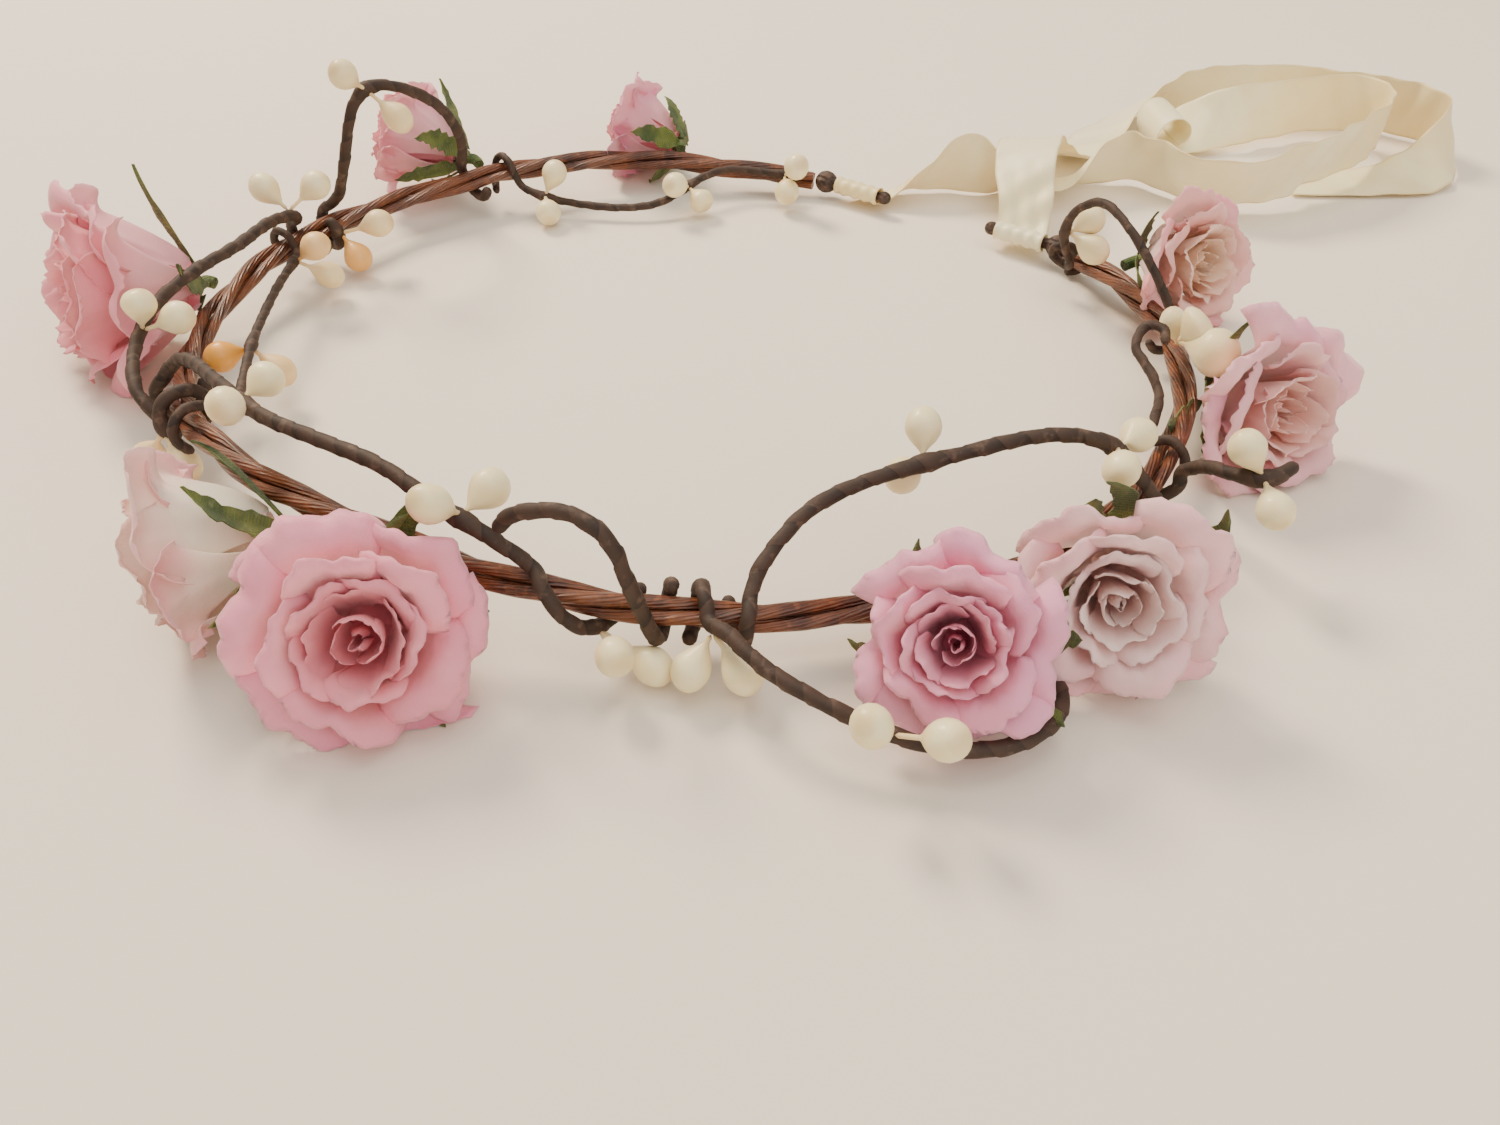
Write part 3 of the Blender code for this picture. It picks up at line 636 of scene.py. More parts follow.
# berries: teardrop heads on short threads
berryLook = {
    "sides": 18, "rings": 26, "thread": 0.42 * mm, "sway": 0.35 * mm,
    "long": (1.42, 1.66), "roundShare": 0.38, "taper": 0.78, "plump": 1.03, "past": 1.08,
    "cream": (0.93, 0.74, 0.33), "pale": (0.96, 0.86, 0.54), "tan": (0.55, 0.30, 0.08),
    "orange": (0.80, 0.36, 0.05),
    "tones": {"berry_pair_09": (0.45, 1.0), "berry_pair_07": (0.2, 0.8),
              "berry_pair_06": (0.15, 0.55), "berry_pair_11": (0.3, 0.15),
              "berry_pair_04": (0.2, 0.1)},
    # one more pair by the right side of the band: its root, its heads and their radius
    "extraRoot": (103.6, -8.4, 12.6), "extraHeads": ((101.6, -8.3, 18.2), (106.4, -7.9, 16.6)),
    "extraRadius": 2.6 * mm, "extraSeed": 70,
}


def makeBerryFinish():
    material, tree, shader = newFinish(
        "berryCream", 0.42, Subsurface_Weight=0.12, Subsurface_Scale=0.002, Coat_Weight=0.12)
    tone = attributeNode(tree, "tone")
    along = attributeNode(tree, "along")
    patches = patchesOn(tree, 260.0, 0.3, 0.75)
    colour = mixColour(tree, times(tree, patches, 0.5), berryLook["pale"], berryLook["cream"])
    tips = rampNode(tree, along, (0.0, (0.55, 0.55, 0.55)), (0.3, (0.1, 0.1, 0.1)),
                    (0.9, (0, 0, 0)), (1.0, (0.35, 0.35, 0.35)))
    colour = mixColour(tree, tips, colour, berryLook["tan"])
    colour = mixColour(tree, tone, colour, berryLook["orange"])
    colourInto(tree, shader, colour)
    grain = addNode(tree, "TexNoise", Vector=objectPlace(tree), Scale=900.0, Detail=3.0)
    bumpInto(tree, shader, grain.outputs[0], 0.00012, 0.45)
    return material


# one head and its thread, turned about the line from the root to the head's middle
def berryHead(name, root, head, radius, tone, seed):
    rng = random.Random(seed)
    root, head = Vector(root), Vector(head)
    stem = (head - root).normalized()
    length = (head - root).length + radius * berryLook["past"]
    egg = radius * rng.uniform(*berryLook["long"])
    ball = berryLook["roundShare"]
    side = stem.orthogonal().normalized()
    over = stem.cross(side)
    bend = (side * rng.uniform(-1, 1) + over * rng.uniform(-1, 1)) * berryLook["sway"]

    def placeAt(u, v):
        along = length * (1 - (1 - v) ** 1.7)
        fromTip = np.clip((length - along) / min(egg * 2.0, length * 0.97), 0, 1)
        dome = np.sqrt(np.clip(1 - ((ball - fromTip) / ball) ** 2, 0, 1))
        slope = np.clip((fromTip - ball) / (1 - ball), 0, 1)
        neck = (0.5 + 0.5 * np.cos(slope * math.pi)) ** berryLook["taper"]
        size = radius * berryLook["plump"] * np.where(fromTip < ball, dome, neck)
        size = np.maximum(size, np.where(v > 0.9, 0, berryLook["thread"]))
        size = np.where(v <= 0, 0, size) * (1 + 0.03 * np.sin(2 * u * math.tau + seed))
        placed = placeRound((np.array(root), side, over, stem), along, fullTurn(u), size)
        return placed + np.outer(np.sin(v * math.pi), bend)

    piece = gridPiece(name, berryLook["sides"], berryLook["rings"], placeAt)
    flat = np.array([v.co for v in piece.data.vertices])
    setValue(piece, "along", np.clip((flat - np.array(root)) @ np.array(stem) / length, 0, 1))
    setValue(piece, "tone", np.full(len(flat), tone))
    return piece


def joinBerries(name, heads, finish, *nodes):
    pair = joinInto(name, heads)
    editAll(pair, mergeDoubles, facesOut)
    smooth(pair, 80)
    finishPiece(pair, "crown", finish, "berry_cream", *nodes)


def makeBerries():
    finish = makeBerryFinish()
    for number, (node, (middles, radii, thin)) in enumerate(berryPairs.items()):
        joint = middles[thin:thin + 2].mean(0)
        wire = min((line[np.linalg.norm(line - joint, axis=1).argmin()] for line in vineLines),
                   key=lambda point: np.linalg.norm(point - joint))
        heads = []
        tones = berryLook["tones"].get(node, (0.0, 0.0))
        for half, (root, tip, nextIn) in enumerate(
                ((thin, 0, 1), (thin + 1, len(middles) - 1, len(middles) - 2))):
            inward = middles[nextIn] - middles[tip]
            inward /= np.linalg.norm(inward)
            start = wire * 0.6 + joint * 0.25 + middles[root] * 0.15
            middle = middles[tip] + inward * radii.max()
            heads.append(berryHead(f"{node}Head{half}", start, middle, radii.max(), tones[half],
                                   number * 2 + half))
        joinBerries(f"berries{number + 1:02d}", heads, finish, node)
    root = np.array(berryLook["extraRoot"]) * mm
    heads = []
    for half, place in enumerate(berryLook["extraHeads"]):
        heads.append(berryHead(f"extraHead{half}", root, np.array(place) * mm,
                               berryLook["extraRadius"], 0.0, berryLook["extraSeed"] + half))
    joinBerries("berriesExtra", heads, finish)


makeBerries()
print("berries made")


# ribbons: satin tied at the band's ends
ribbonLook = {
    "width": 15.5 * mm, "sleeveWidth": 12.5 * mm, "sleeveTurn": 280.0, "sleeveSteps": 14,
    "across": 20, "fine": 9, "step": 0.75 * mm, "thick": 0.22 * mm, "lowest": 0.3 * mm,
    "creases": 1.15 * mm, "crumple": 0.75, "gathers": 0.5 * mm, "neckFolds": 0.22 * mm,
    "flatEnd": 55 * mm, "rollRadius": 6.4 * mm, "rollHeight": 7.6 * mm, "rollSteps": 13,
    "rollTurn": 26, "rollTightening": 0.04,
    "ivory": (0.92, 0.78, 0.42), "pale": (0.97, 0.90, 0.62), "deep": (0.84, 0.60, 0.20),
}
swing = frame["joints"][0]  # the line that both ribbons turn about, through the band's ends
tie = {
    "middle": np.array(swing["pos_m"]), "axis": np.array(swing["axis"]),
    "left": np.array((0.038595, 0.086662, 0.004292)),
    "right": np.array((0.091697, 0.048385, 0.005161)),
    "halfGap": 33 * mm, "ball": 3.0 * mm, "neck": 1.0 * mm, "gap": 0.3 * mm,
}
tie["out"] = np.cross((0, 0, 1), tie["axis"])
tie["out"] /= np.linalg.norm(tie["out"])
# along the tie line, out from it, height of the lower edge, lean, share of the full width
leftRoute = [
    (13.5, 5.5, 1.0, 10, 0.6), (19, 11.5, 0.6, 45, 0.75), (25.5, 20, 0.5, 80, 1),
    (32, 23.5, 0.5, 78, 1), (39.5, 26, 0.5, 40, 1), (47, 31.5, 0.5, 22, 1), (53.5, 42, 0.5, 45, 1),
    (60, 50, 0.5, 72, 1), (70, 50, 0.5, 74, 1), (82, 46.5, 0.5, 66, 1), (92, 51.5, 0.8, 68, 1),
    (100, 62, 1.8, 74, 1), (107, 79, 3.2, 80, 1), (111, 99, 3.0, 84, 1), (106.5, 114, 2.0, 88, 1),
    (95, 115.5, 1.5, 90, 1), (83, 103, 1.0, 84, 1), (73, 91.5, 1.0, 62, 1), (65, 84, 1.4, 30, 1),
]
rightRoute = [
    (-12, 6, 3.5, 8, 0.8), (-14.5, 11, 9, 8, 0.85), (-18.5, 17, 13.2, 8, 0.95),
    (-22, 25, 15.5, 10, 1), (-24.5, 34, 13.5, 12, 1), (-25, 44, 7.5, 12, 1), (-22.5, 56, 2.2, 10, 1),
    (-22.5, 68, 1, 10, 1), (-23, 80, 0.8, 16, 1), (-19.5, 94, 0.6, 45, 1), (-7, 107, 0.5, 80, 1),
    (9, 118, 0.5, 88, 1), (27, 125, 0.5, 88, 1), (45, 127, 0.5, 86, 1), (57, 122, 0.5, 78, 1),
    (61, 110, 0.5, 55, 1), (57.5, 98.5, 0.5, 18, 1), (48, 90, 0.5, 3, 1), (38, 83, 0.5, 3, 1),
    (29.5, 77, 0.5, 12, 0.94),
]


def sleeveSections(end, inward):
    radius = tie["neck"] + 1.5 * tie["gap"] + 0.25 * mm
    middle = end + inward * (tie["ball"] + tie["gap"] * 2 + ribbonLook["sleeveWidth"] / 2)
    steps = ribbonLook["sleeveSteps"]
    found = []
    for i in range(steps + 1):
        turn = math.radians(-90 - ribbonLook["sleeveTurn"] * (1 - i / steps))
        spoke = tie["out"] * math.cos(turn) + np.array(up) * math.sin(turn)
        centre = middle + spoke * radius * 1.02
        found.append(np.array([*centre, *(tie["axis"] * ribbonLook["sleeveWidth"] / 2)]))
    return found


def routeSections(stations, end, shift):
    centres = []
    for i, (along, out, foot, lean, share) in enumerate(stations):
        blend = min(1, i / 4)
        origin = end * (1 - blend) + (tie["middle"] - tie["axis"] * shift) * blend
        origin[2] = foot * mm + ribbonLook["width"] * share / 2 * math.sin(math.radians(lean))
        centres.append(origin + (tie["axis"] * along + tie["out"] * out) * mm)
    found = []
    for i, (*_, lean, share) in enumerate(stations):
        ahead = centres[min(i + 1, len(centres) - 1)] - centres[max(i - 1, 0)]
        across = np.cross((ahead[0], ahead[1], 0), (0, 0, 1))
        across /= np.linalg.norm(across)
        angle = math.radians(lean)
        wide = across * math.cos(angle) + np.array(up) * math.sin(angle)
        found.append(np.array([*centres[i], *(wide * ribbonLook["width"] * share / 2)]))
    return found


def rollSections(last, before):  # the free end, rolled up over itself
    wide = np.array([last[3], last[4], 0])
    wide *= ribbonLook["width"] / 2 / np.linalg.norm(wide)
    ahead = last[:3] - before[:3]
    ahead[2] = 0
    ahead -= wide * (ahead @ wide) / (wide @ wide)
    ahead /= np.linalg.norm(ahead)
    hub = last[:3] + ahead * ribbonLook["rollRadius"]
    hub[2] = ribbonLook["rollHeight"]
    found = []
    for i in range(1, ribbonLook["rollSteps"] + 1):
        turn = math.radians(-90 + ribbonLook["rollTurn"] * i)
        radius = ribbonLook["rollRadius"] * (1 - ribbonLook["rollTightening"] * i)
        centre = hub + (ahead * math.cos(turn) + np.array(up) * math.sin(turn)) * radius
        found.append(np.array([*centre, *wide]))
    return found


def makeRibbonFinish():
    material, tree, shader = newFinish(
        "ribbonSatin", 0.38, Sheen_Weight=0.25, Sheen_Roughness=0.4, Subsurface_Weight=0.1,
        Subsurface_Scale=0.001)
    patches = patchesOn(tree, 70.0, 0.3, 0.7)
    edge = attributeNode(tree, "edge")
    far = attributeNode(tree, "far")
    colour = mixColour(tree, times(tree, patches, 0.6), ribbonLook["pale"], ribbonLook["ivory"])
    # painted shade: the far loops are tinted towards the deeper ochre; the left ribbon is also
    # deeper near its sleeve
    colour = mixColour(tree, times(tree, far, 0.55), colour, ribbonLook["deep"])
    colour = mixColour(tree, times(tree, edge, 0.35), colour, ribbonLook["deep"])
    colourInto(tree, shader, colour)
    threads = useGroup(tree, weave, Map=ownMap(tree), Across=46.0, Along=46.0)
    bumpInto(tree, shader, threads.outputs[0], 0.00005, 0.35)
    return material


def makeRibbon(name, sections, node, finish, seed, farShade, neckTone):
    line = roundedThrough(sections, ribbonLook["fine"])
    length = lengthAlong(line)
    sleeveEnd = length[ribbonLook["sleeveSteps"] * ribbonLook["fine"]]
    count = int(length[-1] / ribbonLook["step"])
    line, places = evenSteps(line, length, count)
    middle, wide = line[:, :3], line[:, 3:]
    face = np.cross(np.gradient(middle, axis=0), wide)
    face /= np.linalg.norm(face, axis=1)[:, None]
    slow = waves(seed, 4, 26 * mm, 60 * mm)
    quick = waves(seed + 1, 5, 8 * mm, 19 * mm)
    slant = waves(seed + 2, 4, 14 * mm, 34 * mm)
    past = (places - sleeveEnd) / mm  # how far past the sleeve, in millimetres
    gather = np.clip(1.2 - past / 22, 0, 1)

    def placeAt(u, v):
        row = np.rint(v * count).astype(int)
        x = u * 2 - 1
        along = places[row]
        lift = ribbonLook["creases"] * (slow(along) * x + 0.6 * slant(along + x * 7 * mm)
                                        + ribbonLook["crumple"] * quick(along - x * 4 * mm))
        fold = ribbonLook["gathers"] * gather[row] * np.sin(x * 9 + along / (9 * mm) + seed)
        neckFold = ribbonLook["neckFolds"] * (1 + np.sin(x * 13 + along / (2.5 * mm)))
        onNeck = past[row] < 0
        fold = np.where(onNeck, neckFold, fold)
        ease = np.clip((places[-1] - along) / ribbonLook["flatEnd"], 0.1, 1)
        lift = np.where(onNeck, 0, lift * np.clip((past[row] - 4) / 14, 0, 1) * ease)
        out = middle[row] + wide[row] * (x * (1 + 0.012 * quick(along)))[:, None]
        out = out + face[row] * (lift + fold)[:, None]
        out[:, 2] = np.maximum(out[:, 2], ribbonLook["lowest"])
        return out

    piece = gridPiece(name, ribbonLook["across"], count, placeAt, (1.0, places[-1] * 65))
    columns = ribbonLook["across"] + 1
    x = np.tile(np.linspace(-1, 1, columns), count + 1)
    setValue(piece, "edge", np.clip((np.abs(x) - 0.9) * 10, 0, 1))
    # painted shade: ribbon far to the east, in the far loops, is tinted deeper
    eastward = np.array([v.co.x for v in piece.data.vertices])
    far = np.clip((eastward - 0.165) / 0.04, 0, 1) * farShade
    # near its sleeve the left ribbon is tinted deeper too
    neck = np.clip(1 - np.repeat(past, columns) / 34, 0, 1) * neckTone
    setValue(piece, "far", np.maximum(far, neck))
    smooth(piece, 75)
    applyModifier(piece, "SOLIDIFY", thickness=ribbonLook["thick"], offset=0)
    finishPiece(piece, "ribbon_tie", finish, "ribbon_ivory", node)
    print(name, "is", round(places[-1] * 1000), "mm long")


def makeRibbons():
    finish = makeRibbonFinish()
    sleeve = sleeveSections(tie["left"], tie["axis"])
    run = routeSections(leftRoute, tie["left"], tie["halfGap"])
    makeRibbon("ribbonLeft", np.array(sleeve + run + rollSections(run[-1], run[-2])),
               "ribbon_left", finish, 3, 1.0, 0.9)
    sleeve = sleeveSections(tie["right"], -tie["axis"])
    run = routeSections(rightRoute, tie["right"], -tie["halfGap"])
    makeRibbon("ribbonRight", np.array(sleeve + run), "ribbon_right", finish, 8, 0.6, 0.0)


makeRibbons()
print("ribbons made")


# roses: cupped cloth petals round a rolled heart, on a leafy cup
pinks = {
    "base": (0.93, 0.28, 0.33), "edge": (0.92, 0.32, 0.41), "heart": (0.90, 0.22, 0.27),
    "back": (0.93, 0.44, 0.50),
}
roses = {
    "rose_1": {"petals": pinks, "slot": "petal_pink", "spin": 20, "open": 0.82, "seed": 1},
    "rose_2": {"petals": {**pinks, "edge": (0.88, 0.31, 0.50)}, "slot": "petal_pink", "spin": 75,
               "open": 0.85, "seed": 2},
    "rose_3": {"petals": {**pinks, "heart": (0.88, 0.22, 0.28)}, "slot": "petal_pink", "spin": 5,
               "open": 0.92, "seed": 3},
    "rose_4": {"petals": {"base": (0.93, 0.72, 0.55), "edge": (0.92, 0.36, 0.42),
                          "heart": (0.88, 0.45, 0.40), "back": (0.95, 0.84, 0.66)},
               "slot": "petal_blush", "spin": 40, "open": 0.86, "seed": 4},
    "rose_5": {"petals": {"base": (0.95, 0.30, 0.36), "edge": (0.92, 0.28, 0.42),
                          "heart": (0.92, 0.26, 0.32), "back": (0.95, 0.44, 0.50)},
               "slot": "petal_pink", "spin": 262, "open": 0.74, "seed": 5, "hang": 270,
               "leaves": [(72, 8, 18, 2), (176, 6, 17, 1)]},
    "rose_6": {"petals": {"base": (0.94, 0.33, 0.47), "edge": (0.90, 0.34, 0.52),
                          "heart": (0.92, 0.32, 0.46), "back": (0.90, 0.30, 0.47)},
               "slot": "petal_mauve", "spin": 110, "open": 0.80, "seed": 6,
               "leaves": [(10, 14, 13, 2), (330, 13, 14, 3)]},
    "rose_7": {"petals": {"base": (0.98, 0.76, 0.72), "edge": (0.93, 0.34, 0.43),
                          "heart": (0.96, 0.56, 0.52), "back": (0.98, 0.82, 0.77)},
               "slot": "petal_pale", "spin": 160, "open": 0.92, "seed": 7,
               "leaves": [(80, 16, 14, 2), (20, 15, 15, 3)]},
    "rose_8": {"petals": {"base": (0.96, 0.56, 0.50), "edge": (0.90, 0.34, 0.48),
                          "heart": (0.94, 0.44, 0.30), "back": (0.93, 0.62, 0.68)},
               "slot": "petal_blush", "spin": 230, "open": 0.88, "seed": 8},
    "rose_9": {"petals": {"base": (0.97, 0.68, 0.50), "edge": (0.92, 0.27, 0.35),
                          "heart": (0.95, 0.66, 0.38), "back": (0.95, 0.62, 0.62)},
               "slot": "petal_blush", "spin": 310, "open": 0.98, "seed": 9},
}
# count, depth share, rim radius share, root radius share, lip, half width in radians, tone
petalLayers = [
    (2, 0.82, 0.09, 0.02, -0.04, 1.50, 0.00),
    (3, 0.88, 0.21, 0.05, -0.02, 1.30, 0.05),
    (4, 0.93, 0.36, 0.08, 0.03, 0.98, 0.15),
    (5, 0.98, 0.56, 0.12, 0.08, 0.86, 0.40),
    (5, 0.95, 0.78, 0.16, 0.16, 0.78, 0.70),
    (6, 0.80, 1.02, 0.20, 0.26, 0.68, 1.00),
]
petalLook = {
    "across": 30, "along": 22, "thick": 0.08 * mm, "ruffle": 0.074, "crinkle": 0.023,
    "fray": 0.5 * mm, "lowest": 0.3 * mm, "sunk": 1.2 * mm, "layer": 0.12 * mm,
    "hangDrop": 0.25, "hangLip": 0.15,
}
leafLook = {
    "count": 5, "steps": 14, "thick": 0.2 * mm, "lowest": 0.35 * mm, "stemStep": 0.6 * mm,
    "stemSides": 20, "stemWidest": 3.4 * mm, "stemInside": 1.5 * mm, "extraHalfWidth": 3.4 * mm,
    "dark": (0.045, 0.085, 0.014), "light": (0.16, 0.21, 0.035), "worn": (0.3, 0.32, 0.16),
}


def makePetalFinish(name, look):
    material, tree, shader = newFinish(
        name, 0.62, Subsurface_Weight=0.22, Subsurface_Scale=0.003, Sheen_Weight=0.3,
        Sheen_Roughness=0.45)
    shader.inputs["Subsurface Radius"].default_value = (1.0, 0.45, 0.4)
    rim, layer, tone = (attributeNode(tree, label) for label in ("rim", "layer", "tone"))
    patches = patchesOn(tree, 95.0, 0.3, 0.7)
    dye = plus(tree, rim, times(tree, mathNode(tree, "SUBTRACT", patches, 0.5), 0.30))
    outer = mixColour(tree, rampNode(tree, dye, (0.30, (0, 0, 0)), (0.95, (1, 1, 1))),
                      look["back"], look["edge"])
    inner = mixColour(tree, rampNode(tree, dye, (0.25, (0, 0, 0)), (0.92, (1, 1, 1))),
                      look["heart"], look["base"])
    outward = rampNode(tree, layer, (0.12, (0, 0, 0)), (1.0, (1, 1, 1)))
    colour = mixColour(tree, outward, inner, outer)
    colour = mixColour(tree, times(tree, tone, 0.35), colour, look["base"])
    facing = addNode(tree, "NewGeometry").outputs["Backfacing"]
    colour = mixColour(tree, times(tree, facing, 0.1), colour, look["back"])
    colourInto(tree, shader, colour)
    threads = useGroup(tree, weave, Map=ownMap(tree), Across=70.0, Along=70.0)
    creases = addNode(tree, "TexNoise", Vector=objectPlace(tree), Scale=420.0, Detail=2.0)
    height = plus(tree, times(tree, threads.outputs[0], 0.25),
                  times(tree, creases.outputs[0], 0.9))
    bumpInto(tree, shader, height, 0.00022, 0.55)
    return material


# where a bloom starts, its three directions, its radius and depth, and the rings of its stem
def roseFrame(name):
    rings = ringsOf(name + "_calyx", 10)
    if ringSize(rings[0]) > ringSize(rings[-1]):
        rings = rings[::-1]
    rim, before = rings[-1].mean(0), rings[-2].mean(0)
    axis = (rim - before) / np.linalg.norm(rim - before)
    side = np.cross((0, 0, 1), axis)
    side /= np.linalg.norm(side)
    over = np.cross(axis, side)
    bloom = np.array([v.co for v in frame["nodes"][name + "_bloom"].data.vertices]) - rim
    depth = (bloom @ axis).max()
    radius = np.hypot(bloom @ side, bloom @ over).max()
    return rim, side, over, axis, radius, depth, rings


def softFloor(points, height):  # cloth that would go below the table lies on it instead
    z = points[:, 2] - height
    points[:, 2] = height + np.where(z > 6 * mm, z, np.log1p(np.exp(z / (0.7 * mm))) * 0.7 * mm)
    return points


# one petal; shape is its height, rim radius, root radius, lip and half width
def petal(name, at, around, shape, rng, floorAt):
    height, rimRadius, rootRadius, lip, halfWidth = shape
    phases = [rng.uniform(0, math.tau) for _ in range(4)]
    ruffle = petalLook["ruffle"] * rng.uniform(0.6, 1.5)
    lean = rng.uniform(-0.12, 0.12)
    point = rng.uniform(-0.02, 0.05)
    notch = rng.choice((0, 0, 0.05, 0.08))
    fray = np.array([rng.uniform(-1, 1) for _ in range(petalLook["across"] + 1)])

    def placeAt(u, v):
        x = u * 2 - 1
        column = np.rint(u * petalLook["across"]).astype(int)
        outline = 0.46 + 0.54 * np.sin(np.clip(v * 1.05, 0, 1) * math.pi / 2) ** 1.2
        turn = around + x * halfWidth * outline + lean * v
        tip = point * (1 - x**2) - notch * np.exp(-(x / 0.18) ** 2)
        reach = v * (1 - 0.44 * np.abs(x) ** 2.4 * v + tip)
        edge = np.clip((v - 0.62) / 0.38, 0, 1)
        rise = height * np.sin(np.clip(reach, 0, 1.1) * math.pi / 2 * 0.96) ** 0.92
        bulge = np.sin(np.clip(reach, 0, 1) * math.pi * 0.5) ** 0.72
        out = rootRadius + (rimRadius - rootRadius) * bulge
        out = out + lip * edge**2 * (1 + 0.3 * np.sin(2 * x + phases[0]))
        rise = rise - lip * 0.55 * edge**3
        calm = 1 - 0.55 * x**2
        out = out + rimRadius * ruffle * v**2 * calm * (
            np.sin(3.1 * x + phases[1]) + 0.7 * np.sin(6.3 * x + phases[2]))
        rise = rise + height * ruffle * 0.6 * v**2 * np.sin(5.2 * x + phases[3])
        out = out + rimRadius * petalLook["crinkle"] * v**3 * calm * (
            np.sin(12 * x + phases[2]) + 0.7 * np.sin(21 * x + 4 * v + phases[3]))
        out = out + x * 0.07 * rimRadius + 0.05 * rimRadius * x**2
        rise = rise + petalLook["fray"] * fray[column] * (v > 0.99)
        return softFloor(placeRound(at, rise, turn, out), floorAt)

    piece = gridPiece(name, petalLook["across"], petalLook["along"], placeAt, (1.0, 1.0))
    v = np.repeat(np.linspace(0, 1, petalLook["along"] + 1), petalLook["across"] + 1)
    setValue(piece, "rim", v)
    return piece


# one ragged leaf behind the bloom; size is its length, half width, spread and curl
def sepal(name, at, around, size, rng):
    length, halfWidth, spread, curl = size
    steps = leafLook["steps"]
    jag = [rng.uniform(0.6, 1.15) for _ in range(steps + 1)]
    twist = rng.uniform(-0.5, 0.5)

    def placeAt(u, v):
        x = u * 2 - 1
        row = np.rint(v * steps).astype(int)
        outline = np.sin(np.clip(v * 0.94 + 0.06, 0, 1) * math.pi) ** 0.75 * (1 - 0.35 * v)
        edge = np.where(np.abs(x) > 0.99, np.array(jag)[row], 0.9)
        across = x * halfWidth * outline * edge
        out = 2.6 * mm + spread * np.sin(v * math.pi / 2) + curl * v**3
        rise = -1.6 * mm + length * v - curl * 0.55 * v**3 - 0.5 * mm * np.abs(x)
        turn = around + across / np.maximum(out, 3 * mm) + twist * v**2
        return softFloor(placeRound(at, rise, turn, out), leafLook["lowest"])

    return gridPiece(name, 6, steps, placeAt, (1.0, 2.0))


def makeLeafFinish():
    material, tree, shader = newFinish("leafGreen", 0.8, Sheen_Weight=0.15)
    colour = mixColour(tree, patchesOn(tree, 190.0), leafLook["dark"], leafLook["light"])
    worn = patchesOn(tree, 900.0, 0.55, 0.75)
    colourInto(tree, shader, mixColour(tree, times(tree, worn, 0.35), colour, leafLook["worn"]))
    threads = useGroup(tree, weave, Map=ownMap(tree), Across=16.0, Along=16.0)
    bumpInto(tree, shader, threads.outputs[0], 0.0002, 0.8)
    return material


leafFinish = makeLeafFinish()


# the cone of cloth that the petals grow from, which closes the gaps between their roots
def roseBase(name, at, radius, depth):
    def placeAt(u, v):
        turn = fullTurn(u)
        out = radius * 0.27 * np.sqrt(np.clip(1 - v, 0, 1)) * (1 + 0.05 * np.sin(5 * turn))
        return softFloor(placeRound(at, v * depth * 0.5, turn, out), petalLook["lowest"])

    piece = gridPiece(name, 24, 10, placeAt)
    for label in ("rim", "layer", "tone"):
        setValue(piece, label, np.zeros(len(piece.data.vertices)))
    return piece


def makeBloom(name, look, at, radius, depth, rng):
    parts = []
    for layer, (count, deep, wide, root, lip, halfWidth, tone) in enumerate(petalLayers):
        for k in range(count):
            around = math.radians(look["spin"]) + layer * 0.9 + math.tau * (
                k + rng.uniform(-0.12, 0.12)) / count
            height = (depth + petalLook["sunk"]) * deep * rng.uniform(0.93, 1.06)
            opened = look["open"] if layer > 2 else 1.0
            lipOut = lip
            if "hang" in look and layer == len(petalLayers) - 1:
                facing = max(0, math.cos(around - math.radians(look["hang"])))
                height *= 1 - petalLook["hangDrop"] * facing
                lipOut += petalLook["hangLip"] * facing**2
            shape = (height, radius * wide * opened * rng.uniform(0.95, 1.04), radius * root,
                     radius * lipOut * rng.uniform(0.6, 1.3), halfWidth * rng.uniform(0.92, 1.08))
            part = petal(f"{name}Petal{layer}{k}", at, around, shape, rng,
                         petalLook["lowest"] + petalLook["layer"] * (len(parts) % 5))
            points = len(part.data.vertices)
            setValue(part, "layer", np.full(points, tone))
            setValue(part, "tone", np.full(points, rng.uniform(0, 1)))
            parts.append(part)
    parts.append(roseBase(f"{name}Base", at, radius, depth))
    bloom = joinInto(name.replace("_", "") + "Bloom", parts)
    smooth(bloom, 85)
    applyModifier(bloom, "SOLIDIFY", thickness=petalLook["thick"], offset=0)
    finish = makePetalFinish(name.replace("_", "") + "Petals", look["petals"])
    finishPiece(bloom, "crown", finish, look["slot"], name + "_bloom")


def makeStem(name, rings):
    centres = middlesOf(rings)
    line, places = smoothLine(centres, leafLook["stemStep"])
    spots = [places[np.linalg.norm(line - centre, axis=1).argmin()] for centre in centres]
    sizes = np.minimum([ringSize(ring) for ring in rings], leafLook["stemWidest"])
    sizes[-1] = leafLook["stemInside"]  # the stem closes inside the bloom

    def radiusAt(place, turn):
        return np.interp(place, spots, sizes * 0.94) * (1 + 0.04 * np.sin(5 * turn))

    return tubePiece(name + "Stem", line, places, radiusAt, leafLook["stemSides"])


def makeCup(name, look, at, radius, depth, rings, rng):
    leaves = [makeStem(name, rings)]
    for k in range(leafLook["count"]):
        around = math.radians(look["spin"] + 25) + math.tau * k / leafLook["count"]
        around += rng.uniform(-0.2, 0.2)
        size = (rng.uniform(0.34, 0.62) * depth + 2 * mm, rng.uniform(2.6, 3.6) * mm,
                radius * rng.uniform(0.62, 0.85), rng.uniform(0, 0.35) * radius)
        leaves.append(sepal(f"{name}Sepal{k}", at, around, size, rng))
    for around, length, spread, curl in look.get("leaves", ()):
        size = (length * mm, leafLook["extraHalfWidth"], spread * mm, curl * mm)
        leaves.append(sepal(f"{name}Leaf{len(leaves)}", at, math.radians(around), size, rng))
    for leaf in leaves[1:]:
        applyModifier(leaf, "SOLIDIFY", thickness=leafLook["thick"], offset=0)
    cup = joinInto(name.replace("_", "") + "Leaves", leaves)
    smooth(cup, 60)
    finishPiece(cup, "crown", leafFinish, "leaf_green", name + "_calyx")


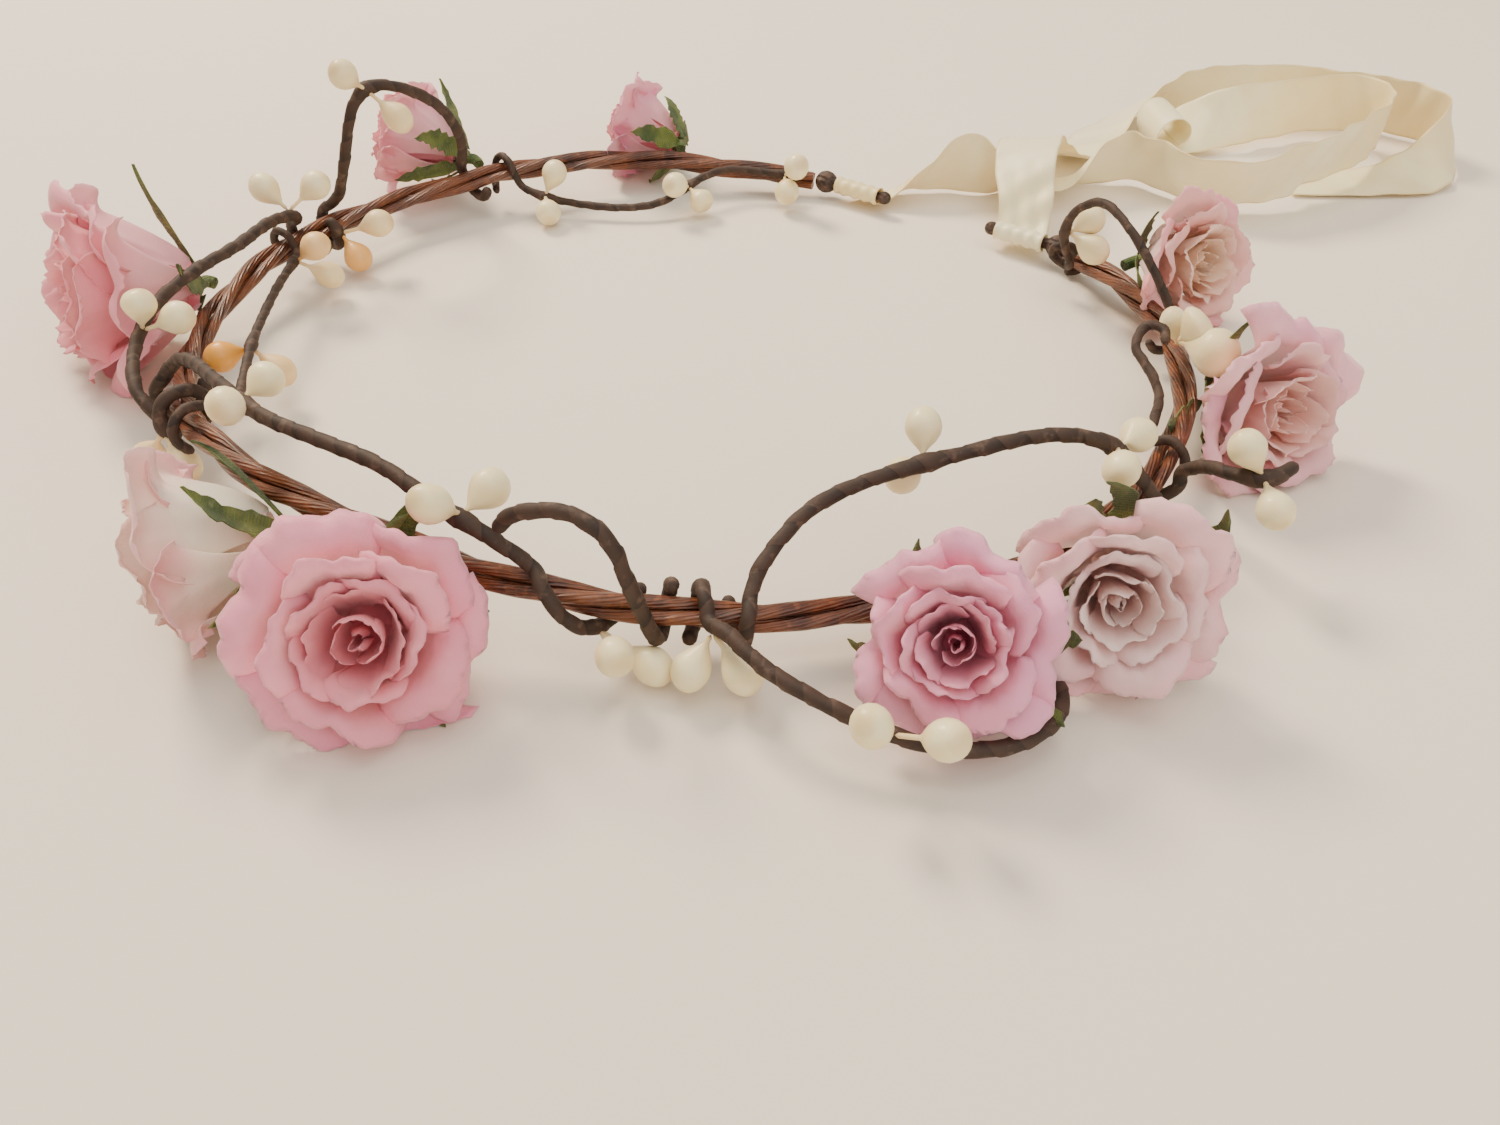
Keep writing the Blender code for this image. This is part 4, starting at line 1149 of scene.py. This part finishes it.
def makeRose(name, look):
    rim, side, over, axis, radius, depth, rings = roseFrame(name)
    rng = random.Random(look["seed"] * 7)
    at = (rim - axis * petalLook["sunk"], side, over, axis)
    makeBloom(name, look, at, radius, depth, rng)
    makeCup(name, look, at, radius, depth, rings, rng)


for name, look in roses.items():
    makeRose(name, look)
print("roses made")


# taped ends of the band, and dabs of glue
endLook = {"dark": (0.022, 0.011, 0.008), "body": (0.085, 0.045, 0.030), "worn": (0.22, 0.14, 0.10)}
glueLook = {"clear": (0.95, 0.90, 0.80), "cloudy": (0.80, 0.70, 0.55), "roses": (5, 6, 7, 8)}


def copyOf(node, name, rounds):  # a rounded copy of a node of the frame
    piece = bpy.data.objects.new(name, frame["nodes"][node].data.copy())
    bpy.context.scene.collection.objects.link(piece)
    editAll(piece, mergeDoubles, facesOut)
    applyModifier(piece, "SUBSURF", levels=rounds, render_levels=rounds)
    smooth(piece, 70)
    return piece


def makeEndFinish():
    material, tree, shader = newFinish("endTape", 0.62)
    colour = mixColour(tree, patchesOn(tree, 330.0, 0.35, 0.68), endLook["dark"], endLook["body"])
    worn = patchesOn(tree, 1100.0, 0.5, 0.7)
    colourInto(tree, shader, mixColour(tree, times(tree, worn, 0.35), colour, endLook["worn"]))
    bands = addNode(tree, "TexWave", {"bands_direction": "DIAGONAL"}, Vector=objectPlace(tree),
                    Scale=260.0, Distortion=3.0)
    bumpInto(tree, shader, bands.outputs["Fac"], 0.0003, 0.8)
    return material


def makeGlueFinish():
    material, tree, shader = newFinish("glueClear", 0.12, Transmission_Weight=0.75, IOR=1.46)
    clouds = patchesOn(tree, 500.0, 0.4, 0.7)
    colourInto(tree, shader, mixColour(tree, clouds, glueLook["clear"], glueLook["cloudy"]))
    bumpInto(tree, shader, clouds, 0.0002, 0.5)
    return material


def makeSmallParts():
    tape = makeEndFinish()
    for node, name in (("band_end_left", "bandEndLeft"), ("band_end_right", "bandEndRight")):
        finishPiece(copyOf(node, name, 1), "crown", tape, "end_tape", node)
    glue = makeGlueFinish()
    for rose in glueLook["roses"]:
        node = f"rose_{rose}_glue"
        finishPiece(copyOf(node, f"rose{rose}Glue", 2), "crown", glue, "glue_clear", node)


makeSmallParts()
print("small parts made")
